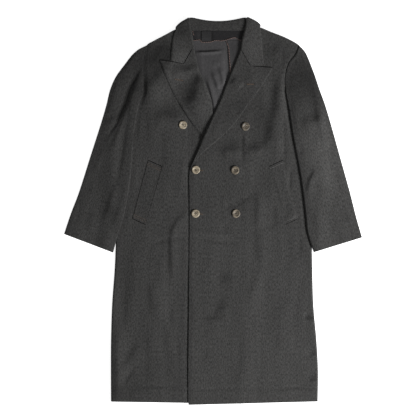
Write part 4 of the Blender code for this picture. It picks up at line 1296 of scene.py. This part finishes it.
frontFacing = {
    "wall": 0.001,
    "columns": 18,
    "rows": 36,
    "rest": 0.0036,
    "puff": 0.0016,
    "puffTop": 1.124,
    "puffRun": 0.035,
    "grain": 0.2,
    "cut": (0.062, 0.098),
    "area": 0.0042,
    # darker all over the facing: x, y, reach across, reach along, tone
    "paintedShadingAndTone": [(0.062, 1.090, 0.040, 0.060, 0.72)],
    "sections": [
        (0.0475, 1.030, 0, 0.0600, 1.030, 0),
        (0.0460, 1.055, 0, 0.0740, 1.055, 0),
        (0.0442, 1.082, 0, 0.0830, 1.082, 0),
        (0.0416, 1.108, 0, 0.0920, 1.108, 0),
        (0.0362, 1.1280, 0, 0.0970, 1.1275, 0),
    ],
}
hangerTab = {
    "wall": 0.001,
    "rest": 0.0049,
    "steps": 16,
    "bow": 0.0008,
    "grain": 1.57,
    "corners": (-0.043, 1.1262, -0.013, 1.1565),
    "cut": (0.030, 0.031),
    "area": 0.0009,
}


def liningTop(x, y, share):
    inside = soft(share / lining["edgeShare"]) * soft((1 - share) / lining["edgeShare"])
    inside = inside * soft((lining["foldTop"] - y) / lining["foldRun"])
    folds = np.clip(creaseHeight(lining["creases"], x, y), 0, None)
    folds = folds * soft((lining["foldSide"] - x) / lining["foldRun"])
    puff = lining["puff"] * soft((lining["puffTop"] - y) / lining["puffTopRun"])
    puff = puff * soft((lining["puffSide"] - x) / lining["puffSideRun"])
    return lining["rest"] + lining["wall"] + (folds + puff) * inside


def frontFacingTop(x, y):
    puff = frontFacing["puff"] * soft((frontFacing["puffTop"] - y) / frontFacing["puffRun"])
    return frontFacing["rest"] + frontFacing["wall"] + puff


def facingShape(i, j):
    seam = np.array(neckSeam)
    x = neckFacing["start"] + neckFacing["width"] * i / neckFacing["columns"]
    lowEdge = np.interp(x, seam[:, 0], seam[:, 1]) + neckFacing["overSeam"]
    y = lowEdge + (neckFacing["top"] - lowEdge) * j / neckFacing["rows"]
    return x, y, np.full_like(y, neckFacing["rest"] + neckFacing["wall"])


def tabShape(i, j):
    x0, y0, x1, y1 = hangerTab["corners"]
    across = i / hangerTab["steps"]
    along = j / hangerTab["steps"]
    z = hangerTab["rest"] + hangerTab["wall"] + hangerTab["bow"] * np.sin(math.pi * along)
    return x0 + (x1 - x0) * across, y0 + (y1 - y0) * along, z


shape, columns = panelShape(lining["sections"], lining["columns"], lining["rows"], 0, 0,
                            liningTop, atFoot)
liningPiece = addCloth("backLiningCloth", columns, lining["rows"], shape, lining["wall"],
                       liningFinish, "lining_cloth", "back_lining", patches=lining["paintedShadingAndTone"])
neckFacingPiece = addCloth("neckFacingCloth", neckFacing["columns"], neckFacing["rows"], facingShape,
                           neckFacing["wall"], facingFinish, "facing_cloth", "neck_facing",
                           neckFacing["grain"], neckFacing["paintedShadingAndTone"])
tabPiece = addCloth("hangerTabCloth", hangerTab["steps"], hangerTab["steps"], tabShape, hangerTab["wall"],
                    tabFinish, "facing_cloth", "hanger_tab", hangerTab["grain"])
shape, columns = panelShape(
    frontFacing["sections"], frontFacing["columns"], frontFacing["rows"], 0, 0,
    lambda x, y, share: frontFacingTop(x, y), atFoot)
frontFacingPiece = addCloth("frontFacingCloth", columns, frontFacing["rows"], shape, frontFacing["wall"],
                            liningFinish, "facing_cloth", "front_facing", frontFacing["grain"],
                            frontFacing["paintedShadingAndTone"])

piping = {
    "radius": 0.0011,
    "height": 0.0045,
    "points": 60,
    # the upper end that shows beside the collar: x, y, z
    "end": [(-0.0715, 1.1565, 0.0058), (-0.0695, 1.1500, 0.0054), (-0.0672, 1.1440, 0.0050)],
}


def addLine(name, lines, radius, finish, slotName, *nodes):
    # thread or piping along one or more lines of x, y, z
    curve = bpy.data.curves.new(name, "CURVE")
    curve.dimensions = "3D"
    curve.bevel_depth = radius
    curve.bevel_resolution = 2
    curve.use_fill_caps = True
    for points, closed in lines:
        line = curve.splines.new("POLY")
        line.points.add(len(points) - 1)
        for point, (x, y, z) in zip(line.points, points):
            point.co = (x + shift[0], y + shift[1], z, 1)
        line.use_cyclic_u = closed
    return addPiece(name, curve, finish, slotName, *nodes)


def layLine(points, surface, lift=0.0):
    # a line of x, y laid on a surface
    x, y = np.array(points).T
    return np.column_stack((x, y, surface(x, y) + lift)), False


def pipingRest(x, y):
    return np.full_like(x, piping["height"])


for name, seam, surface, more, node in (
        ("neckPiping", neckSeam, pipingRest, [(piping["end"], False)], "neck_piping"),
        ("facingPiping", facingSeam, frontFacingTop, [], "facing_piping")):
    line = rowAt(seam, np.linspace(0, len(seam) - 1, piping["points"]))
    lines = [layLine(line, surface)] + more
    addLine(name, lines, piping["radius"], roseFinish, "rose_piping", node)
print("neck lined")


# sleeves
def wayBetween(x0, y0, x1, y1):
    span = math.hypot(x1 - x0, y1 - y0)
    return (x1 - x0) / span, (y1 - y0) / span, span


def laySleeve(side, sleeve, ground):
    right = sleeve["innerRight"]

    def underHeight(x, y, share):
        return ground(x, y) + layers["bodyWall"]

    def upperHeight(x, y, share):
        inner = share if right else 1 - share
        rest = ground(x, y) + layers["bodyWall"] + layers["gap"] * 1.5
        short = np.clip(sleeveFall["seamRise"] - rest, 0, None)
        high = soft((y - sleeveFall["seamLow"]) / sleeveFall["seamRun"])
        rest = rest + short * inner**3 * high
        middle = 2 * share - 1
        loose = creaseHeight(sleeve["creases"], x, y) + slackHeight(sleeve["slack"], x, y)
        seam = sleeve["level"] * high * (inner > 0.5)
        puff = sleeveFall["puff"] * (1 - middle**4 * (1 - seam))
        puff = puff * (1 - sleeveFall["seamSink"] * seam * soft(inner * 2 - 1))
        crown = sleeve["crown"] * soft((sleeveFall["crownTop"] - y) / sleeveFall["crownFade"])
        puff = puff + crown * inner
        return rest + layers["bodyWall"] + puff + np.maximum(loose, -puff) * (1 - middle**6)

    def foot(x, y):
        return ground(x, y) + edge["foot"]

    under = []
    upper = []
    for x0, y0, leftRoll, x1, y1, rightRoll in sleeve["sections"]:
        wayX, wayY, _ = wayBetween(x0, y0, x1, y1)
        inX = wayX * edge["inset"]
        inY = wayY * edge["inset"]
        under.append((x0 + inX, y0 + inY, 0, x1 - inX, y1 - inY, 0))
        lap = sleeveFall["lap"] * (1 - (rightRoll if right else leftRoll))
        if right:
            upper.append((x0, y0, leftRoll, x1 + wayX * lap, y1 + wayY * lap, rightRoll))
        else:
            upper.append((x0 - wayX * lap, y0 - wayY * lap, leftRoll, x1, y1, rightRoll))
    rows = sleeveFall["underRows"]
    shape, columns = panelShape(under[:-1], sleeveFall["underColumns"], rows, 0, 0, underHeight, foot)
    underPiece = addCloth("sleeve%sUnderCloth" % side, columns, rows, shape, layers["bodyWall"],
                          woolFinish, "wool_cloth", "sleeve_%s_under" % side.lower(), sleeve["grain"])
    shape, columns = panelShape(upper, sleeve["columns"], sleeve["rows"], edge["turns"], edge["turns"],
                                upperHeight, foot)
    upperPiece = addCloth("sleeve%sUpperCloth" % side, columns, sleeve["rows"], shape, layers["bodyWall"],
                          woolFinish, "wool_cloth", "sleeve_%s_upper" % side.lower(), sleeve["grain"],
                          sleeve["paintedShadingAndTone"])


laySleeve("Right", sleeveRight, groundRight)
laySleeve("Left", sleeveLeft, groundLeft)
print("sleeves laid")

# slanted pocket welts
welt = {
    "wall": 0.0011,
    "lift": 0.0002,
    "flushShare": 0.2,    # the left one's sides are pressed flush
    "grain": {"Left": 0.28, "Right": -0.28},
    "columns": 16,
    "rows": 64,
    "cut": (0.046, 0.187),
    "area": 0.0085,
    # Right is darker over and around the right welt: x, y, reach across, reach along, tone
    "paintedShadingAndTone": {"Left": (), "Right": [(-0.211, 0.655, 0.045, 0.090, 0.88)]},
    "sections": [
        (0.217, 0.559, 0, 0.256, 0.577, 0),
        (0.166, 0.737, 0, 0.208, 0.756, 0),
    ],
    "stitch": 0.0030,     # length of a stitch
    # rows of stitches across the ends, as shares of the length
    "stitchRows": {"Left": (0.037, 0.963), "Right": (0.035, 0.070, 0.930, 0.965)},
    "stitchPace": 1.35,   # from stitch to stitch, in stitches
    "stitchParts": (0, 0.37, 0.74),
    "stitchRise": (0, 0.0003, 0),
    "stitchRadius": 0.0005,
    "shadowLine": 0.0011,      # half width of the painted shadow line round the right welt's mouth and ends
    "shadowLineOff": 0.0007,
    "shadowLineLift": -0.0003,   # pressed a little into the cloth
    "shadowLineSteps": 40,
    "endShadowLine": 0.0009,    # half width of the painted shadow lines at the ends of the left welt
    "endShadowSteps": 30,
}


def straightRow(rows, t):
    return [a + (b - a) * t for a, b in zip(rows[0], rows[1])]


def layWelt(side, sections, frontTop):
    def weltTop(x, y, share):
        flush = 1.0
        if side == "Left":
            flush = soft(share / welt["flushShare"]) * soft((1 - share) / welt["flushShare"])
        return frontTop(x, y) + (welt["lift"] + welt["wall"]) * flush

    shape, columns = panelShape(sections, welt["columns"], welt["rows"], 0, 0, weltTop, atFoot)
    piece = addCloth("welt%sCloth" % side, columns, welt["rows"], shape, welt["wall"],
                     woolFinish, "wool_cloth", "welt_%s" % side.lower(), welt["grain"][side],
                     welt["paintedShadingAndTone"][side])
    stitches = []
    for along in welt["stitchRows"][side]:
        x0, y0, _, x1, y1, _ = straightRow(sections, along)
        count = int(math.hypot(x1 - x0, y1 - y0) / (welt["stitch"] * welt["stitchPace"]))
        for k in range(count):
            t = (k + np.array(welt["stitchParts"])) / count
            x = x0 + (x1 - x0) * t
            y = y0 + (y1 - y0) * t
            z = weltTop(x, y, t) + np.array(welt["stitchRise"])
            stitches.append((np.column_stack((x, y, z)), False))
    thread = greySilkFinish if side == "Left" else silkFinish
    if side == "Right":   # painted shadow: a near-black line round the pocket's mouth and ends
        low, high = np.array(sections)
        corners = np.array((low[0:2], low[3:5], high[3:5], high[0:2]))
        out = corners - corners.mean(axis=0)
        corners = corners + out * welt["shadowLineOff"] / np.abs(out)
        shadowLine = np.vstack([np.linspace(a, b, welt["shadowLineSteps"]) for a, b in zip(corners, corners[1:])])
        lines = [layLine(shadowLine, frontTop, welt["shadowLineLift"])]
        addLine("paintedShadowLine", lines, welt["shadowLine"], paintedShadowFinish, "wool_cloth")
    else:   # only the ends show, as painted shadow lines
        lines = []
        for row, off in ((sections[0], -welt["shadowLineOff"]), (sections[1], welt["shadowLineOff"])):
            line = np.linspace(row[0:2], row[3:5], welt["endShadowSteps"]) + np.array((0, off))
            lines.append(layLine(line, frontTop, welt["shadowLineLift"]))
        addLine("weltEndShadows", lines, welt["endShadowLine"], paintedShadowFinish, "wool_cloth")
    addLine("weltStitch%s" % side, stitches, welt["stitchRadius"], thread, "wool_cloth")


mirrored = [(-x1, y1, 0, -x0, y0, 0) for x0, y0, _, x1, y1, _ in welt["sections"]]
layWelt("Left", welt["sections"], frontLeftTop)
layWelt("Right", mirrored, frontRightTop)
print("welts sewn")

# horn buttons with four holes
button = {
    "radius": 0.0128,
    "height": 0.0038,
    "holeRadius": 0.0011,
    "holeReach": 0.0026,
    "places": [
        firstButton, (0.0930, 0.861),
        (-0.0605, 0.727), (0.0611, 0.726),
        (-0.0614, 0.592), (0.0636, 0.592),
    ],
    "turned": (0.2, 0.9, 0.5, 0.1, 0.7, 0.35),   # how far each is turned on its thread
    "segments": 48,
    "holeSegments": 16,
    "drillDepth": 0.02,
    "footing": 0.8,       # share of the radius that rests on the cloth
    "mostTilt": 0.2,
    "lift": 0.0004,
    "footPoints": 12,
    "merge": 0.00001,
    "sharpAngle": 50,
    "threadReach": 0.72,
    "threadHeight": 0.60,
    "threadRadius": 0.00045,
    # thread from hole to hole: share of its reach, rise
    "threadRun": [
        (-1, -0.0020), (-0.9, 0.0001), (-0.4, 0.0006), (0.4, 0.0006), (0.9, 0.0001), (1, -0.0020),
    ],
}


def makeButtonMesh():
    r = button["radius"]
    h = button["height"]
    outline = [   # dished middle, round rim, flat underside
        (0, h * 0.58), (r * 0.30, h * 0.58), (r * 0.50, h * 0.64), (r * 0.62, h * 0.84),
        (r * 0.70, h * 0.97), (r * 0.80, h), (r * 0.90, h * 0.95), (r * 0.97, h * 0.78),
        (r * 0.99, h * 0.58), (r * 0.95, h * 0.28), (r * 0.84, h * 0.06), (r * 0.72, 0), (0, 0),
    ]
    bm = bmesh.new()
    ring = [bm.verts.new((x, 0, z)) for x, z in outline]
    for a, b in zip(ring, ring[1:]):
        bm.edges.new((a, b))
    bmesh.ops.spin(bm, geom=bm.verts[:] + bm.edges[:], cent=(0, 0, 0), axis=(0, 0, 1),
                   angle=2 * math.pi, steps=button["segments"], use_merge=True)
    bmesh.ops.remove_doubles(bm, verts=bm.verts, dist=button["merge"])
    bmesh.ops.recalc_face_normals(bm, faces=bm.faces)
    whole = bpy.data.meshes.new("buttonWhole")
    bm.to_mesh(whole)
    bm.free()
    bm = bmesh.new()
    for k in range(4):
        angle = math.pi / 4 + k * math.pi / 2
        place = Vector((math.cos(angle), math.sin(angle), 0)) * button["holeReach"]
        bmesh.ops.create_cone(bm, cap_ends=True, segments=button["holeSegments"],
                              radius1=button["holeRadius"], radius2=button["holeRadius"],
                              depth=button["drillDepth"], matrix=Matrix.Translation(place))
    drills = bpy.data.meshes.new("buttonDrills")
    bm.to_mesh(drills)
    bm.free()
    solid = bpy.data.objects.new("buttonSolid", whole)
    drill = bpy.data.objects.new("buttonDrill", drills)
    for item in (solid, drill):
        bpy.context.scene.collection.objects.link(item)
    cut = solid.modifiers.new("holes", "BOOLEAN")
    cut.operation = "DIFFERENCE"
    cut.object = drill
    bpy.context.view_layer.update()
    graph = bpy.context.evaluated_depsgraph_get()
    made = bpy.data.meshes.new_from_object(solid.evaluated_get(graph))
    for item in (solid, drill):
        bpy.data.objects.remove(item, do_unlink=True)
    made.polygons.foreach_set("use_smooth", np.ones(len(made.polygons), dtype=bool))
    made.set_sharp_from_angle(angle=math.radians(button["sharpAngle"]))
    return made


buttonMesh = makeButtonMesh()
for number, (x, y) in enumerate(button["places"], 1):
    node = "button_%d" % number
    topAt = frontRightTop if number == 1 else frontLeftTop
    around = np.linspace(0, 2 * math.pi, button["footPoints"], endpoint=False)
    ring = button["radius"] * button["footing"]
    under = topAt(x + ring * np.cos(around), y + ring * np.sin(around))
    slopes = [2 * np.mean(under * np.cos(around)) / ring, 2 * np.mean(under * np.sin(around)) / ring]
    slopeX, slopeY = np.clip(slopes, -button["mostTilt"], button["mostTilt"]).tolist()
    level = under - ring * (slopeX * np.cos(around) + slopeY * np.sin(around))
    place = Matrix.Translation((x + shift[0], y + shift[1], float(level.max()) + button["lift"]))
    tilt = Vector((0, 0, 1)).rotation_difference(Vector((-slopeX, -slopeY, 1))).to_matrix().to_4x4()
    turned = place @ tilt @ Matrix.Rotation(button["turned"][number - 1], 4, "Z")
    mesh = buttonMesh.copy()
    mesh.name = "hornButton%d" % number
    mesh.transform(turned)
    hornFinish = paleHorn if number % 2 else greyHorn
    addPiece("hornButton%d" % number, mesh, hornFinish, "horn_button", node)
    threads = []
    reach = button["holeReach"] * button["threadReach"]
    for side in (-reach, reach):   # two runs of thread between the holes
        run = []
        for s, rise in button["threadRun"]:
            at = turned @ Vector((s * reach, side, button["height"] * button["threadHeight"] + rise))
            run.append((at.x - shift[0], at.y - shift[1], at.z))
        threads.append((run, False))
    addLine("buttonThread%d" % number, threads, button["threadRadius"], blackSilkFinish, "horn_button")
print("buttons sewn on")

# worked buttonholes: two on the lapels, and the ends that show beside the buttons of the lap
buttonholes = {
    "half": 0.0011,       # half width of the slit
    "thread": 0.0006,
    "stand": 0.6,         # height above the cloth, in half widths of the thread
    "turns": 7,
    "lapel": [(-0.1246, 1.0069, -0.1014, 1.0032, "right"), (0.0977, 0.9920, 0.1172, 0.9917, "left")],
    "lap": [(-0.0490, 0.7255, -0.0395, 0.7250), (-0.0500, 0.5905, -0.0405, 0.5900)],
}


def workedHole(x0, y0, x1, y1, topAt):
    # round the far end and back round the near end
    wayX, wayY, span = wayBetween(x0, y0, x1, y1)
    far = np.linspace(-math.pi / 2, math.pi / 2, buttonholes["turns"])
    angles = np.concatenate((far, far + math.pi))
    along = buttonholes["half"] * np.cos(angles) + np.repeat((span, 0.0), len(far))
    across = buttonholes["half"] * np.sin(angles)
    plan = np.column_stack((x0 + wayX * along - wayY * across, y0 + wayY * along + wayX * across))
    line, _ = layLine(plan, topAt, buttonholes["thread"] * buttonholes["stand"])
    return line, True


lapelHoles = []
for x0, y0, x1, y1, side in buttonholes["lapel"]:
    lapel, front = (lapelRight, frontRightTop) if side == "right" else (lapelLeft, frontLeftTop)
    lapelHoles.append(workedHole(x0, y0, x1, y1, lambda x, y: lapelTop(lapel, front, x, y)))
addLine("lapelButtonholes", lapelHoles, buttonholes["thread"], silkFinish, "wool_cloth")
lapHoles = [workedHole(x0, y0, x1, y1, frontLeftTop) for x0, y0, x1, y1 in buttonholes["lap"]]
addLine("lapButtonholes", lapHoles, buttonholes["thread"], silkFinish, "wool_cloth")
print("buttonholes worked")

# painted shadow lines along the seams between the collar and the lapels
gorge = {
    "points": 30,
    "leftRadius": 0.0008,
    "rightRadius": 0.0006,
    "left": [[(0.0800, 1.0985), (0.0935, 1.0750), (0.1080, 1.0500)]],
    "right": [
        [(-0.1220, 1.0588), (-0.1080, 1.0558), (-0.0992, 1.0543)],
        [(-0.0985, 1.0545), (-0.0865, 1.0750), (-0.0730, 1.0990)],
    ],
}
for name, side, lapel, front in (("gorgeSeamShadow", "left", lapelLeft, frontLeftTop),
                                 ("gorgeSeamShadowRight", "right", lapelRight, frontRightTop)):
    lines = []
    for seam in gorge[side]:
        line = rowAt(seam, np.linspace(0, len(seam) - 1, gorge["points"]))
        lines.append(layLine(line, lambda x, y: lapelTop(lapel, front, x, y)))
    addLine(name, lines, gorge[side + "Radius"], paintedShadowFinish, "wool_cloth")
print("gorge sewn")

# floor, light and camera
studio = {
    "floorHalf": 6.0,
    "floorDrop": 0.0004,
    "floor": 0.92,        # how white it is
    "floorRoughness": 0.9,
    "floorGlow": 0.80,
    "ambient": 0.22,
    "key": 177.0,
    "keyPlace": (2.55, -1.47, 1.91),
    "keySize": 1.05,
    "middle": (-0.02325, 0.60915),   # plan place that the middle of the picture looks at
    "pictureWidth": 1.2896,          # metres across the picture on the floor
    "distance": 5.0,
    "sensor": 36,
}
bm = bmesh.new()
bmesh.ops.create_grid(bm, x_segments=2, y_segments=2, size=studio["floorHalf"])
floorMesh = bpy.data.meshes.new("floor")
bm.to_mesh(floorMesh)
bm.free()
floor = bpy.data.objects.new("floor", floorMesh)
bpy.context.scene.collection.objects.link(floor)
floor.location.z = -studio["floorDrop"]
floorFinish, _, shader = startFinish("paleFloor")
shader.inputs["Base Color"].default_value = (studio["floor"], studio["floor"], studio["floor"], 1)
shader.inputs["Roughness"].default_value = studio["floorRoughness"]
shader.inputs["Emission Color"].default_value = (1, 1, 1, 1)
shader.inputs["Emission Strength"].default_value = studio["floorGlow"]
floorMesh.materials.append(floorFinish)

world = bpy.data.worlds.new("studio")
bpy.context.scene.world = world
world.use_nodes = True
sky = world.node_tree.nodes["Background"]
sky.inputs["Color"].default_value = (1, 1, 1, 1)
sky.inputs["Strength"].default_value = studio["ambient"]

keyData = bpy.data.lights.new("key", "AREA")
keyData.energy = studio["key"]
keyData.size = studio["keySize"]
key = bpy.data.objects.new("key", keyData)
key.location = studio["keyPlace"]
key.rotation_euler = (Vector((0, 0, 0)) - key.location).to_track_quat("-Z", "Y").to_euler()
bpy.context.scene.collection.objects.link(key)

cameraData = bpy.data.cameras.new("camera")
cameraData.sensor_width = studio["sensor"]
cameraData.lens = studio["sensor"] * studio["distance"] / studio["pictureWidth"]
camera = bpy.data.objects.new("camera", cameraData)
camera.location = (studio["middle"][0] + shift[0], studio["middle"][1] + shift[1], studio["distance"])
bpy.context.scene.collection.objects.link(camera)
bpy.context.scene.camera = camera
bpy.context.scene.view_settings.view_transform = "Standard"
print("studio set")
